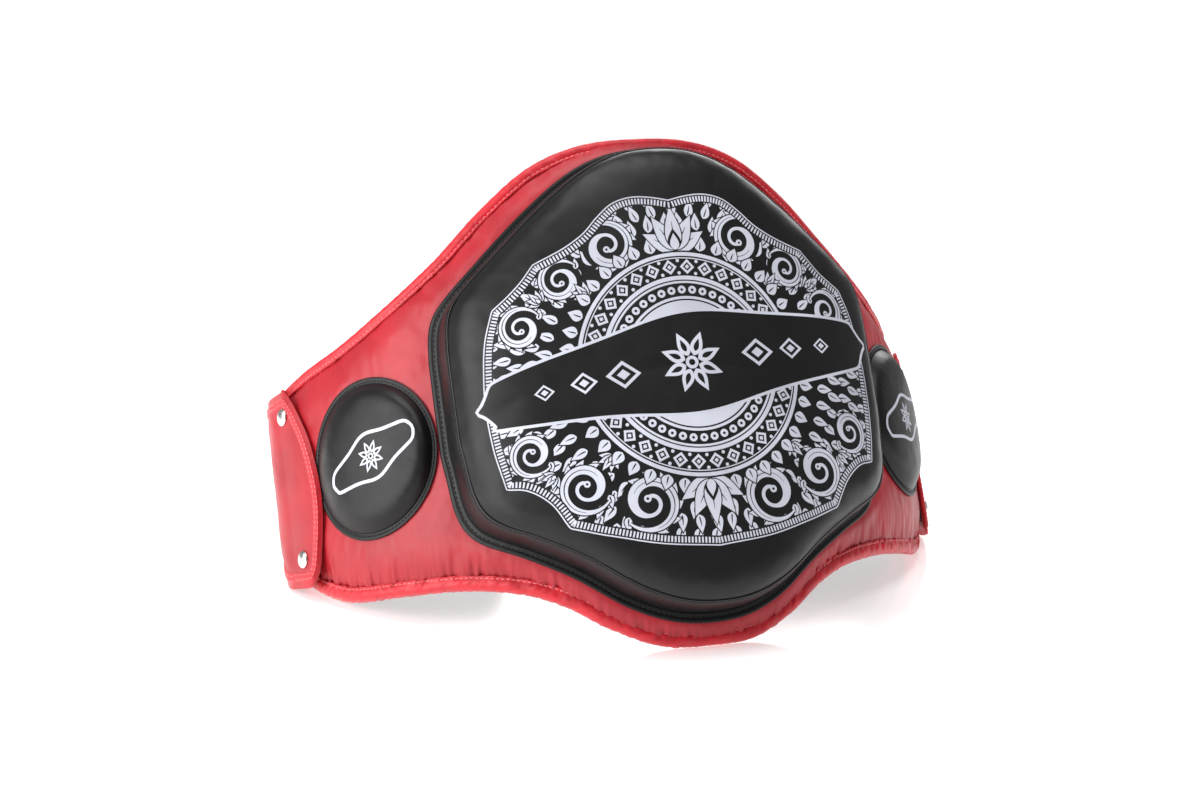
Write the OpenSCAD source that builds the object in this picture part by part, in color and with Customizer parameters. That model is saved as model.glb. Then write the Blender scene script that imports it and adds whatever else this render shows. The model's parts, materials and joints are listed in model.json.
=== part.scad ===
// Trainer belly pad: a curved padded body with a raised centre pad, two round
// side pads and a riveted closure wing at each side. It stands on a surface,
// leaning back, on the middle and the two ends of its lower edge.

/* [Stance] */
// Angle that the pad leans back from upright, in degrees
lean = 28.2; // [24:0.1:32]
// Distance from the front of the body to the middle of the footprint
middle_y = 205.6; // [180:0.1:230]

/* [Body] */
// Radius of the body's curve in plan, on its front face
plan_r = 268; // [255:1:285]
// Length from the middle to each end, along the front face
half_length = 350; // [346:1:354]
// Thickness of the body at its middle
body_t = 26; // [24:0.5:30]
// Thickness of the leather front
leather_t = 2; // [1.5:0.1:2.2]
// Thickness of the back lining
lining_t = 1.5; // [1:0.1:1.8]
// Depth of the soft foam behind the leather, measured from the front face
soft_depth = 12; // [10:0.5:13]

/* [Binding] */
// Width of the edge binding that shows on each face
binding_w = 9; // [7:0.5:10]
// Thickness of the bound edge
binding_t = 10.5; // [10:0.5:11.5]
// Thickness of the binding tape
tape_t = 1.3; // [0.8:0.1:1.5]

/* [Centre pad] */
// Height of the crown of the centre pad above the body
centre_h = 44; // [40:1:48]
// Height of the seam round the top of the centre pad's wall
seam_h = 30; // [26:1:32]
// Half width of the centre pad's sewn flange
centre_half_w = 183; // [178:1:186]
// Width of the sewn flange
flange_w = 8; // [6:0.5:10]
// Thickness of the sewn flanges
flange_t = 2; // [1.5:0.1:2.5]

/* [Side pads] */
// Radius of a side pad's sewn flange
disc_r = 61.5; // [58:0.5:61.5]
// Height of a side pad
disc_h = 15; // [12:1:20]
// Distance of a side pad from the middle, along the front face
disc_s = 245.2; // [245:0.1:245.6]
// Height of a side pad's centre on the body
disc_z = 188; // [184:1:192]

/* [Wings] */
// Thickness of a closure wing
wing_t = 5.6; // [5:0.1:6]
// Radius of the bend where a wing leaves the body
wing_bend_r = 58; // [54:1:62]
// Angle from straight sideways to the line of the closed wing
wing_heading = 160; // [155:1:162]
// Length of the straight part of a wing
wing_straight = 185; // [170:1:188]
// Radius of the corners at a wing's tip
wing_corner_r = 24; // [16:1:30]
// Width and height of the hook patch and the loop patch
patch_size = [95, 64]; // [60:1:100]
// Thickness of the hook patch and the loop patch
patch_t = 1.6; // [1.2:0.1:2]

/* [Rivets] */
// Diameter of a rivet's cap
rivet_d = 12.5; // [11:0.5:14]
// Diameter of a rivet's post
rivet_post_d = 4; // [3:0.5:5]

/* [Hidden] */

// Gap left between pieces that lie on each other
gap = 0.3;
// Spacing of the cross sections along the curve
step = 12;
// Left side and right side, as signs of x
LEFT = -1;
RIGHT = 1;

// Upper and lower edge of the body: [distance from the middle, height]
TOP_EDGE = [[0, 398], [45, 395.5], [85, 383], [125, 357], [165, 327], [210, 303], [260, 285], [310, 277],
    [360, 270]];
BOTTOM_EDGE = [[0, 10], [35, 13], [70, 30], [100, 51], [130, 65], [175, 76], [230, 83], [280, 90],
    [315, 103.5], [360, 128]];
// Upper and lower edge of the centre pad, over the same distances, on its flange
CENTRE_TOP = [[0, 386], [30, 383], [60, 371], [95, 347], [140, 311], [165, 291], [176, 279], [181, 265],
    [183, 246], [190, 180]];
CENTRE_BOTTOM = [[0, 23], [30, 27], [60, 41], [95, 67], [130, 88], [160, 104], [172, 117], [178, 135],
    [181, 160], [190, 220]];
// Front edge of a side strip: [height, distance from the middle]
STRIP_EDGE = [[112, 326], [122, 318], [170, 307], [215, 314], [245, 328], [262, 340]];
// Lower and upper edge of a wing: [distance from its hinge, height]
WING_BOTTOM = [[0, 117], [40, 139], [90, 158], [180, 178], [280, 193]];
WING_TOP = [[0, 262], [60, 266], [150, 280], [280, 293]];
// Where the two rivets of a strip sit: [distance from the middle, height]
RIVET_PLACES = [[345, 246], [337, 131]];

// Height of the flat patches' middle on a wing, and their distance from its hinge
patch_z = 237;
patch_from_hinge = 205;

// The edge of the front leather falls back to the binding: [distance from the edge, depth]
FRONT_FALL = [[2, 8.2], [binding_w + 0.5, 7.8], [15, 5], [27, 1.6], [44, 0]];
// The front of the soft foam under it
FOAM_FALL = [[18, 6.6], [30, 3.6], [46, 2.4]];
// The inner face of the back lining, from the edge to the full thickness
back_depth = body_t - lining_t;
BACK_FALL = [[2, 12], [binding_w + 0.5, 12.2], [18, 16], [30, 21], [48, back_depth]];
// The back of the dense foam inside it
DENSE_FALL = [[21, 16], [32, 20.4], [50, back_depth - 3 * gap]];
// Where the thickness tapers towards the ends, and the share of it that is left there
taper_start = 262;
taper_end = 304;
end_thickness = 0.12;

// Sewn edges of the centre pad, as insets from its outline
wall_inset = flange_w;
seam_inset = flange_w + 2.5;
centre_mid_z = 205;
centre_half_h = 182;

// The hinge of a wing lies on the body's end, half way through the strip
strip_end = half_length - 1.5;
hinge_s = half_length + 4;
hinge_off = 2.4;
wing_root = 3;
hinge_angle = angle_at(hinge_s, hinge_off);
bend_length = (wing_heading - hinge_angle) * PI / 180 * wing_bend_r;
wing_length = bend_length + wing_straight;

function angle_at(s, off) = s / (plan_r + off) * 180 / PI;

// Point at distance s along the curve, off in front of the front face, at height z
function on_body(s, off, z) =
    let (r = plan_r + off, a = angle_at(s, off)) [r * sin(a), plan_r - r * cos(a), z];

// Depths of the bound edges' front and back faces
binding_front = 5.3;
binding_back = binding_front + binding_t;
// Height of the floor: the back corner of the lower edge stands on it
floor_z = BOTTOM_EDGE[0][1] * cos(lean) - binding_back * sin(lean);

// Smooth height at x of an edge through a few [x, height] points
function slope_at(p, i) =
    i == 0 ? 0 : i == len(p) - 1 ? (p[i][1] - p[i - 1][1]) / (p[i][0] - p[i - 1][0])
    : (p[i + 1][1] - p[i - 1][1]) / (p[i + 1][0] - p[i - 1][0]);
function piece_at(x, p, i = 0) = i >= len(p) - 2 || x < p[i + 1][0] ? i : piece_at(x, p, i + 1);
function smooth(x, p) =
    let (i = piece_at(x, p), h = p[i + 1][0] - p[i][0], t = (x - p[i][0]) / h)
    (2 * t * t * t - 3 * t * t + 1) * p[i][1] + (t * t * t - 2 * t * t + t) * h * slope_at(p, i)
    + (3 * t * t - 2 * t * t * t) * p[i + 1][1] + (t * t * t - t * t) * h * slope_at(p, i + 1);

// Evenly spaced values from a to b, about pace apart
function spaced(a, b, pace) = let (n = max(1, ceil(abs(b - a) / pace))) [for (i = [0:n]) a + (b - a) * i / n];

// Share of the body's thickness left at distance s
function taper(s) =
    let (t = max(0, min(1, (abs(s) - taper_start) / (taper_end - taper_start))))
    1 - (1 - end_thickness) * t * t * (3 - 2 * t);
function body_top(s) = smooth(abs(s), TOP_EDGE);
function body_bottom(s) = smooth(abs(s), BOTTOM_EDGE);
function turned(list) = [for (i = [len(list) - 1:-1:0]) list[i]];

// Closed solid through rings of points, each with the same number of points
module loft(rings) {
    n = len(rings[0]);
    m = len(rings);
    sides = [for (i = [0:m - 2], j = [0:n - 1])
        let (a = i * n + j, b = i * n + (j + 1) % n) each [[a, b, b + n], [a, b + n, a + n]]];
    caps = [[for (j = [n - 1:-1:0]) j], [for (j = [0:n - 1]) (m - 1) * n + j]];
    polyhedron(points = [for (ring = rings) each ring], faces = concat(sides, caps), convexity = 8);
}

// The same for sections made of an outer run and the inner run below it, which closes at its ends
module shell_loft(rings) {
    n = len(rings[0]);
    m = len(rings);
    last = (m - 1) * n;
    sides = [for (i = [0:m - 2], j = [0:n - 1])
        let (a = i * n + j, b = i * n + (j + 1) % n) each [[a, b, b + n], [a, b + n, a + n]]];
    caps = [for (j = [0:n / 2 - 2])
        let (b = j + 1, c = n - 2 - j, d = n - 1 - j)
        each [[d, b, j], [d, c, b], [last + j, last + b, last + d], [last + b, last + c, last + d]]];
    polyhedron(points = [for (ring = rings) each ring], faces = concat(sides, caps), convexity = 8);
}

// Closed band: a small closed section carried right round a closed outline
module band(rings) {
    n = len(rings[0]);
    m = len(rings);
    sides = [for (i = [0:m - 1], j = [0:n - 1])
        let (k = (i + 1) % m, a = i * n + j, b = i * n + (j + 1) % n, c = k * n + (j + 1) % n, d = k * n + j)
        each [[a, b, c], [a, c, d]]];
    polyhedron(points = [for (ring = rings) each ring], faces = sides, convexity = 8);
}

// Stands the pad up, leaning back, with its feet on the floor
module stand() {
    translate([0, -middle_y, -floor_z]) rotate([-lean, 0, 0]) children();
}

// Layer of the body between two runs of [distance from the edge, depth], front and back
module body_layer(front, back, end) {
    loft([for (at = BODY_S)
        let (s = max(-end, min(end, at)), lo = body_bottom(s), hi = body_top(s), k = taper(s))
        [each [for (p = front) on_body(s, -p[1], lo + p[0])],
            each [for (p = turned(front)) on_body(s, -p[1], hi - p[0])],
            each [for (p = back) on_body(s, -back_at(p[1], k), hi - p[0])],
            each [for (p = turned(back)) on_body(s, -back_at(p[1], k), lo + p[0])]]]);
}
// A depth behind the soft foam shrinks with the taper
function back_at(depth, k) =
    let (fixed = soft_depth + gap) depth <= fixed ? depth : fixed + (depth - fixed) * k;

// Distances of the body's cross sections, which all its layers share
body_end = half_length - 5;
BODY_S = spaced(-body_end, body_end, step);

module front_leather() {
    inner = [for (p = FRONT_FALL) [p[0], p[1] + leather_t]];
    stand() color([0.72, 0.10, 0.16]) body_layer(FRONT_FALL, inner, body_end);
}

module soft_foam() {
    stand() color([0.93, 0.90, 0.78]) body_layer(FOAM_FALL, [[18, soft_depth]], body_end - 1);
}

module dense_foam() {
    stand() color([0.30, 0.30, 0.33]) body_layer([[21, soft_depth + gap]], DENSE_FALL, body_end - 1);
}

module back_lining() {
    stand() color([0.10, 0.10, 0.11])
        loft([for (s = BODY_S)
            let (lo = body_bottom(s), hi = body_top(s), k = taper(s))
            [each [for (p = BACK_FALL) on_body(s, -back_at(p[1], k), lo + p[0])],
                each [for (p = turned(BACK_FALL)) on_body(s, -back_at(p[1], k), hi - p[0])],
                each [for (p = BACK_FALL) on_body(s, -back_at(p[1], k) - lining_t, hi - p[0])],
                each [for (p = turned(BACK_FALL)) on_body(s, -back_at(p[1], k) - lining_t, lo + p[0])]]]);
}

// U-shaped tape folded over an edge. up is 1 on the lower edge and -1 on the upper edge
function u_section(s, z, up) =
    let (q = [[binding_front, 0], [binding_front, binding_w], [binding_front + tape_t, binding_w],
            [binding_front + tape_t, tape_t], [binding_back - tape_t, tape_t],
            [binding_back - tape_t, binding_w], [binding_back, binding_w], [binding_back, 0]],
        run = [for (p = q) on_body(s, -p[0], z + up * p[1])])
    up > 0 ? run : turned(run);

module top_binding() {
    stand() color([0.85, 0.05, 0.12])
        loft([for (s = BODY_S) u_section(s, body_top(s), -1)]);
}

module bottom_binding() {
    stand() color([0.85, 0.05, 0.12])
        loft([for (s = BODY_S) u_section(s, body_bottom(s), 1)]);
}

// Tape that closes an end of the body from its lower to its upper edge
module end_binding(side) {
    s_in = body_end + gap;
    stand() color([0.85, 0.05, 0.12])
        loft([for (z = [body_bottom(half_length), body_top(half_length)])
            let (ring = [on_body(side * s_in, 0, z), on_body(side * half_length, 0, z),
                on_body(side * half_length, -binding_back, z), on_body(side * s_in, -binding_back, z)])
            side > 0 ? turned(ring) : ring]);
}
module left_end_binding() { end_binding(LEFT); }
module right_end_binding() { end_binding(RIGHT); }

// Upper and lower edge of the centre pad, drawn in by inset
function centre_top(s, inset) =
    let (k = 1 - inset / centre_half_h, x = abs(s) / (1 - inset / centre_half_w))
    centre_mid_z + (smooth(x, CENTRE_TOP) - centre_mid_z) * k;
function centre_bottom(s, inset) =
    let (k = 1 - inset / centre_half_h, x = abs(s) / (1 - inset / centre_half_w))
    centre_mid_z + (smooth(x, CENTRE_BOTTOM) - centre_mid_z) * k;
// Distances for the centre pad's sections, closer together at its rounded corners
CENTRE_S = [for (s = [each spaced(0, 132, step), 144, 154, 162, 168, 173, 177, 180, 182, 183]) s / 183];
CENTRE_BOTH = [each [for (i = [len(CENTRE_S) - 1:-1:1]) -CENTRE_S[i]], each CENTRE_S];
// The outline as a closed run of [distance, height], each at full size
CENTRE_OUTLINE = [each [for (k = CENTRE_BOTH) [k * centre_half_w, centre_bottom(k * centre_half_w, 0)]],
    each [for (k = turned(CENTRE_BOTH)) [k * centre_half_w, centre_top(k * centre_half_w, 0)]]];
function centre_point(p, inset, off) =
    on_body(p[0] * (1 - inset / centre_half_w), off,
        centre_mid_z + (p[1] - centre_mid_z) * (1 - inset / centre_half_h));

module centre_flange() {
    section = [[0, gap], [0, gap + flange_t], [flange_w, gap + flange_t], [flange_w, gap]];
    stand() color([0.08, 0.08, 0.09])
        band([for (p = CENTRE_OUTLINE) [for (q = section) centre_point(p, q[0], q[1])]]);
}

module centre_wall() {
    foot = 2 * gap + flange_t;
    section = [[wall_inset, foot], [seam_inset, seam_h], [seam_inset + flange_t, seam_h],
        [wall_inset + flange_t, foot]];
    stand() color([0.08, 0.08, 0.09])
        band([for (p = CENTRE_OUTLINE) [for (q = section) centre_point(p, q[0], q[1])]]);
}

// Height of the centre pad's rounded top, edge being the inset beyond its seam
top_rim = 1.2;
TOP_ROUND = [[0, seam_h + gap + top_rim], [3, seam_h + 6.5], [12, centre_h - 2.5], [36, centre_h - 0.5],
    [90, centre_h]];
// How far a section at distance s lies inside the side seams
function side_room(s) = max(0, centre_half_w - seam_inset - abs(s));
function top_off(s, edge) = min(smooth(edge, TOP_ROUND), smooth(side_room(s), TOP_ROUND));
// Where the pad is too narrow for these insets, they are these shares of its half height
TOP_SHARES = [0, 0.08, 0.3, 0.6, 0.9];
// Places across the top at distance s: [height, inset from the nearer edge]
function top_places(s) =
    let (lo = centre_bottom(s, seam_inset), hi = centre_top(s, seam_inset), half = (hi - lo) / 2,
        insets = [for (i = [0:len(TOP_ROUND) - 1]) min(TOP_ROUND[i][0], half * TOP_SHARES[i])])
    [each [for (d = insets) [lo + d, d]], each [for (d = turned(insets)) [hi - d, d]]];
function under_top(s, q) = max(seam_h + gap, top_off(s, max(0, q[1] - leather_t)) - leather_t);

module centre_top_leather() {
    stand() color([0.08, 0.08, 0.09])
        shell_loft([for (k = CENTRE_BOTH)
            let (s = k * (centre_half_w - seam_inset), places = top_places(s))
            [each [for (q = places) on_body(s, top_off(s, q[1]), q[0])],
                each [for (q = turned(places)) on_body(s, under_top(s, q), q[0])]]]);
}

// Foam block inside the centre pad, from low to high
module centre_block(low, high, inset) {
    loft([for (k = CENTRE_BOTH)
        let (s = k * (centre_half_w - inset), lo = centre_bottom(s, inset), hi = centre_top(s, inset))
        [on_body(s, low, lo), on_body(s, high, lo), on_body(s, high, hi), on_body(s, low, hi)]]);
}
dense_inset = seam_inset + flange_t + 2;
soft_inset = seam_inset + 16;
soft_room = 3.2;
module centre_dense_foam() {
    stand() color([0.30, 0.30, 0.33])
        centre_block(gap + flange_t + gap, seam_h - leather_t - gap, dense_inset);
}
module centre_soft_foam() {
    stand() color([0.93, 0.90, 0.78])
        centre_block(seam_h - leather_t, centre_h - leather_t - soft_room, soft_inset);
}

// Height of a round side pad's cover at a distance from its centre
cover_r = disc_r - flange_w;
function cover_off(d) = smooth(d, [[0, disc_h], [cover_r - 10, disc_h - 0.7], [cover_r - 4, disc_h - 3.5],
    [cover_r, gap + flange_t]]);
// Sections across a disc of radius r, and the places across each of them
DISC_ANGLES = [for (a = [4:8:180]) a];
ACROSS = [-1, -0.96, -0.9, -0.8, -0.5, 0, 0.5, 0.8, 0.9, 0.96, 1];

module disc_flange(side) {
    inner_r = cover_r + gap;
    section = [[disc_r, gap], [disc_r, gap + flange_t], [inner_r, gap + flange_t], [inner_r, gap]];
    stand() color([0.08, 0.08, 0.09])
        band([for (a = [0:7.5:359])
            [for (q = section) on_body(side * disc_s + q[0] * cos(a), q[1], disc_z + q[0] * sin(a))]]);
}

cover_t = 1.5;
module disc_cover(side) {
    stand() color([0.10, 0.10, 0.11])
        loft([for (a = turned(DISC_ANGLES))
            let (x = cover_r * cos(a), y = cover_r * sin(a))
            [each [for (k = ACROSS) on_body(side * disc_s + x, cover_off(norm([x, k * y])), disc_z + k * y)],
                each [for (k = turned(ACROSS))
                    let (d = norm([x, k * y]))
                    on_body(side * disc_s + x, max(gap, cover_off(min(cover_r, d + cover_t)) - cover_t),
                        disc_z + k * y)]]]);
}

module disc_foam(side) {
    r = cover_r - 8;
    stand() color([0.93, 0.90, 0.78])
        loft([for (a = turned(DISC_ANGLES))
            let (x = r * cos(a), y = r * sin(a))
            [for (q = [[-1, gap], [-1, disc_h - 5], [1, disc_h - 5], [1, gap]])
                on_body(side * disc_s + x, q[1], disc_z + q[0] * y)]]);
}
module left_disc_flange() { disc_flange(LEFT); }
module left_disc_cover() { disc_cover(LEFT); }
module left_disc_foam() { disc_foam(LEFT); }
module right_disc_flange() { disc_flange(RIGHT); }
module right_disc_cover() { disc_cover(RIGHT); }
module right_disc_foam() { disc_foam(RIGHT); }

// The fixed end of a wing lies on the body's front. Its section runs along the curve
strip_low = STRIP_EDGE[0][0];
strip_high = STRIP_EDGE[5][0];
strip_top_off = 2 * hinge_off - gap;
STRIP_Z = spaced(strip_low, strip_high, 10);
function across_strip(side, z, from, low, high) =
    let (n = 4, s_at = [for (i = [0:n]) from + (strip_end - from) * i / n],
        loop = [each [for (s = s_at) on_body(side * s, low, z)],
            each [for (s = turned(s_at)) on_body(side * s, high, z)]])
    side > 0 ? turned(loop) : loop;

module strip_leather(side) {
    stand() color([0.72, 0.10, 0.16])
        loft([for (z = STRIP_Z)
            let (from = smooth(z, STRIP_EDGE) + tape_t + gap)
            across_strip(side, z, from, gap + tape_t, strip_top_off - tape_t)]);
}

module strip_binding(side) {
    stand() color([0.85, 0.05, 0.12])
        loft([for (z = STRIP_Z)
            let (s0 = smooth(z, STRIP_EDGE), low = gap, high = strip_top_off,
                in_low = tape_t, in_high = high - tape_t + gap,
                loop = [for (q = [[0, low], [lip, low], [lip, in_low], [tape_t, in_low],
                    [tape_t, in_high], [lip, in_high], [lip, high], [0, high]])
                    on_body(side * (s0 + q[0]), q[1], z)])
            side > 0 ? turned(loop) : loop]);
}
module left_strip_leather() { strip_leather(LEFT); }
module left_strip_binding() { strip_binding(LEFT); }
module right_strip_leather() { strip_leather(RIGHT); }
module right_strip_binding() { strip_binding(RIGHT); }

// Rivets: a domed cap in front, a post through every layer, and a flat cap behind
module at_rivets(side) {
    for (p = RIVET_PLACES) {
        a = angle_at(p[0], strip_top_off);
        translate([side * plan_r * sin(a), plan_r * (1 - cos(a)), p[1]])
            rotate([90, 0, side * a]) children();
    }
}
function back_face(s) = back_at(back_depth, taper(s)) + lining_t;

post_low = -back_face(RIVET_PLACES[1][0]) - gap;
rivet_back_t = 1.6;

module rivets(side) {
    r = rivet_d / 2;
    stand() color([0.80, 0.80, 0.80]) at_rivets(side) {
        translate([0, 0, strip_top_off]) rotate_extrude($fn = 48)
            polygon([[0, 0], [r - 0.5, 0], [r, 0.5], [r - 0.6, 1.2], [r * 0.6, 1.9], [0, 2.2]]);
        translate([0, 0, post_low]) cylinder(d = rivet_post_d, h = strip_top_off - post_low, $fn = 32);
    }
}

module rivet_backs(side) {
    stand() color([0.72, 0.72, 0.72]) at_rivets(side) {
        translate([0, 0, post_low - rivet_back_t]) cylinder(d = rivet_d - 2, h = rivet_back_t, $fn = 48);
    }
}
module left_rivets() { rivets(LEFT); }
module left_rivet_backs() { rivet_backs(LEFT); }
module right_rivets() { rivets(RIGHT); }
module right_rivet_backs() { rivet_backs(RIGHT); }

// Right wing in plan: a bend that starts at the hinge, then a straight line
function wing_plan(w, off) =
    let (a = min(wing_heading, hinge_angle + w / wing_bend_r * 180 / PI), over = max(0, w - bend_length),
        h = on_body(hinge_s, hinge_off, 0),
        x = h[0] + wing_bend_r * (sin(a) - sin(hinge_angle)) + over * cos(a),
        y = h[1] + wing_bend_r * (cos(hinge_angle) - cos(a)) + over * sin(a))
    [x + off * sin(a), y - off * cos(a)];
function wing_point(side, w, off, z) = let (p = wing_plan(w, off)) [side * p[0], p[1], z];
// Height lost at each edge of the wing by its rounded tip, and by a margin all round
function tip_round(w, margin) =
    let (r = wing_corner_r - margin, u = w - tip_start)
    margin + (u <= 0 ? 0 : r - sqrt(max(0, r * r - u * u)));
function wing_lo(w, margin) = smooth(w, WING_BOTTOM) + tip_round(w, margin);
function wing_hi(w, margin) = smooth(w, WING_TOP) - tip_round(w, margin);
// Places along a wing, close together round the bend and at the tip
tip_start = wing_length - wing_corner_r;
function wing_places(margin) =
    [each spaced(wing_root, bend_length, 8),
        each [for (k = [0.2:0.2:0.8]) bend_length + k * (tip_start - bend_length)],
        each [for (a = [0:15:90]) tip_start + (wing_corner_r - margin) * sin(a)]];

module wing_layer(side, low, high, margin) {
    loft([for (w = wing_places(margin))
        let (lo = wing_lo(w, margin), hi = wing_hi(w, margin),
            ring = [wing_point(side, w, low, lo), wing_point(side, w, high, lo),
                wing_point(side, w, high, hi), wing_point(side, w, low, hi)])
        side > 0 ? ring : turned(ring)]);
}

// Layers of a wing, from its inner to its outer face, as [low, high] from the middle of its thickness
half_wing = wing_t / 2;
LINING_LAYER = [-half_wing + 0.2, -half_wing + 1.7];
FELT_LAYER = [-0.9, 0.7];
LEATHER_LAYER = [0.9, half_wing - 0.2];
lip = binding_w - 1.5;

module wing_leather(side) {
    stand() color([0.72, 0.10, 0.16]) wing_layer(side, LEATHER_LAYER[0], LEATHER_LAYER[1], lip + gap);
}
module wing_felt(side) {
    stand() color([0.30, 0.30, 0.33]) wing_layer(side, FELT_LAYER[0], FELT_LAYER[1], tape_t + gap);
}
module wing_lining(side) {
    stand() color([0.10, 0.10, 0.11]) wing_layer(side, LINING_LAYER[0], LINING_LAYER[1], lip + gap);
}
module left_wing_leather() { wing_leather(LEFT); }
module left_wing_felt() { wing_felt(LEFT); }
module left_wing_lining() { wing_lining(LEFT); }
module right_wing_leather() { wing_leather(RIGHT); }
module right_wing_felt() { wing_felt(RIGHT); }
module right_wing_lining() { wing_lining(RIGHT); }

// The tape runs out along a wing's lower edge, round its tip and back, as
// [place, height, inward along, inward up]
SIDE_PLACES = [for (w = wing_places(0)) if (w <= tip_start) w];
function at_tip(a) = tip_start + wing_corner_r * sin(a);
WING_EDGE = [
    each [for (w = SIDE_PLACES) [w, smooth(w, WING_BOTTOM), 0, 1]],
    each [for (a = [15:15:90]) [at_tip(a), wing_lo(at_tip(a), 0), -sin(a), cos(a)]],
    each [for (a = [90:-15:15]) [at_tip(a), wing_hi(at_tip(a), 0), -sin(a), -cos(a)]],
    each turned([for (w = SIDE_PLACES) [w, smooth(w, WING_TOP), 0, -1]])];

module wing_binding(side) {
    q = [[0, -half_wing], [lip, -half_wing], [lip, -half_wing + tape_t], [tape_t, -half_wing + tape_t],
        [tape_t, half_wing - tape_t], [lip, half_wing - tape_t], [lip, half_wing], [0, half_wing]];
    stand() color([0.85, 0.05, 0.12])
        loft([for (e = WING_EDGE)
            let (ring = [for (p = q) wing_point(side, e[0] + e[2] * p[0], p[1], e[1] + e[3] * p[0])])
            side > 0 ? ring : turned(ring)]);
}
module left_wing_binding() { wing_binding(LEFT); }
module right_wing_binding() { wing_binding(RIGHT); }

// Flat patch on the straight part of a wing, off its outer face, or its inner face if off is negative
module wing_patch(side, off) {
    place = wing_plan(patch_from_hinge, off);
    stand() translate([side * place[0], place[1], patch_z]) rotate([0, 0, side * wing_heading])
        cube([patch_size[0], patch_t, patch_size[1]], center = true);
}
patch_off = half_wing + gap / 2 + patch_t / 2;
module left_loop_patch() { color([0.12, 0.12, 0.13]) wing_patch(LEFT, patch_off); }
module right_hook_patch() { color([0.16, 0.16, 0.17]) wing_patch(RIGHT, -patch_off); }

front_leather();
soft_foam();
dense_foam();
back_lining();
top_binding();
bottom_binding();
left_end_binding();
right_end_binding();
centre_flange();
centre_wall();
centre_top_leather();
centre_dense_foam();
centre_soft_foam();
left_disc_flange();
left_disc_cover();
left_disc_foam();
right_disc_flange();
right_disc_cover();
right_disc_foam();
left_strip_leather();
left_strip_binding();
right_strip_leather();
right_strip_binding();
left_rivets();
left_rivet_backs();
right_rivets();
right_rivet_backs();
left_wing_leather();
left_wing_felt();
left_wing_lining();
left_wing_binding();
left_loop_patch();
right_wing_leather();
right_wing_felt();
right_wing_lining();
right_wing_binding();
right_hook_patch();
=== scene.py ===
import json
import math

import bpy
import numpy as np
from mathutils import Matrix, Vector, noise
from mathutils.bvhtree import BVHTree
from mathutils.geometry import delaunay_2d_cdt


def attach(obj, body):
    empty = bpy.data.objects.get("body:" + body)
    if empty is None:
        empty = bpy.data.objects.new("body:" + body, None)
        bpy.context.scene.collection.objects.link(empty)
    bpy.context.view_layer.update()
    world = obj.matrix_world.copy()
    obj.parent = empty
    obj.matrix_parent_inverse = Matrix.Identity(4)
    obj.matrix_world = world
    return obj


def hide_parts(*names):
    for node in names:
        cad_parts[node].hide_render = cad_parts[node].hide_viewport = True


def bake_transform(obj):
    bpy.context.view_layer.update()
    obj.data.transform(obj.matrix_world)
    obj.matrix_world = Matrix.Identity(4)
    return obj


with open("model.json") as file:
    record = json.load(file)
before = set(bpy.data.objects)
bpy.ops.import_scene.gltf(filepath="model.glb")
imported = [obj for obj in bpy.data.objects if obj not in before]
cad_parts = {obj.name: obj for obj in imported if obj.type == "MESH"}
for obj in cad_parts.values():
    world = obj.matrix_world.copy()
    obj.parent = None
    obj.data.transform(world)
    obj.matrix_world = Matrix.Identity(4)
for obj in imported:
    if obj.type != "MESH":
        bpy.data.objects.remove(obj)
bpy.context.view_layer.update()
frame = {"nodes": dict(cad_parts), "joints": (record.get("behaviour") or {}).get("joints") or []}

# Looks of the trainer belly pad. Shapes are worked out in the pad's own space, in millimetres:
# s runs along the curve of the front face, off stands out from it, and z runs up the pad.
# placed() carries them to metres in the row frame.

MM = 0.001
SIDES = {"left": -1, "right": 1}

# Body
PLAN_R = 268.0
HALF_LENGTH = 350.0
BODY_END = 345.0
TOP_EDGE = [(0, 398), (45, 395.5), (85, 383), (125, 357), (165, 327), (210, 303), (260, 285), (310, 277),
            (360, 270)]
BOTTOM_EDGE = [(0, 10), (35, 13), (70, 30), (100, 51), (130, 65), (175, 76), (230, 83), (280, 90),
               (315, 103.5), (360, 128)]
# Depth of the front and the back, over the distance from the edge
FRONT_FALL = [(0, 8.4), (9.5, 7.6), (15, 5), (27, 1.6), (44, 0), (400, 0)]
BACK_FALL = [(0, 13.2), (9.5, 13.6), (18, 17.4), (30, 22.4), (48, 26), (400, 26)]
TAPER = (262.0, 304.0)
END_THICKNESS = 0.12
TAPER_FROM_DEPTH = 12.3

# Edge binding
BINDING_W = 9.0
BINDING_MID = 10.55
BINDING_HALF = 5.25

# Centre pad
CENTRE_TOP = [(0, 386), (30, 383), (60, 371), (95, 347), (140, 311), (165, 291), (176, 279), (181, 265),
              (183, 246), (190, 180)]
CENTRE_BOTTOM = [(0, 23), (30, 27), (60, 41), (95, 67), (130, 88), (160, 104), (172, 117), (178, 135),
                 (181, 160), (190, 220)]
CENTRE_HALF_W = 183.0
CENTRE_HALF_H = 182.0
CENTRE_MID_Z = 205.0
CENTRE_H = 44.0
SEAM_INSET = 10.5

# Round side pads
DISC_R = 61.5
DISC_S = 245.2
DISC_Z = 188.0

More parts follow.
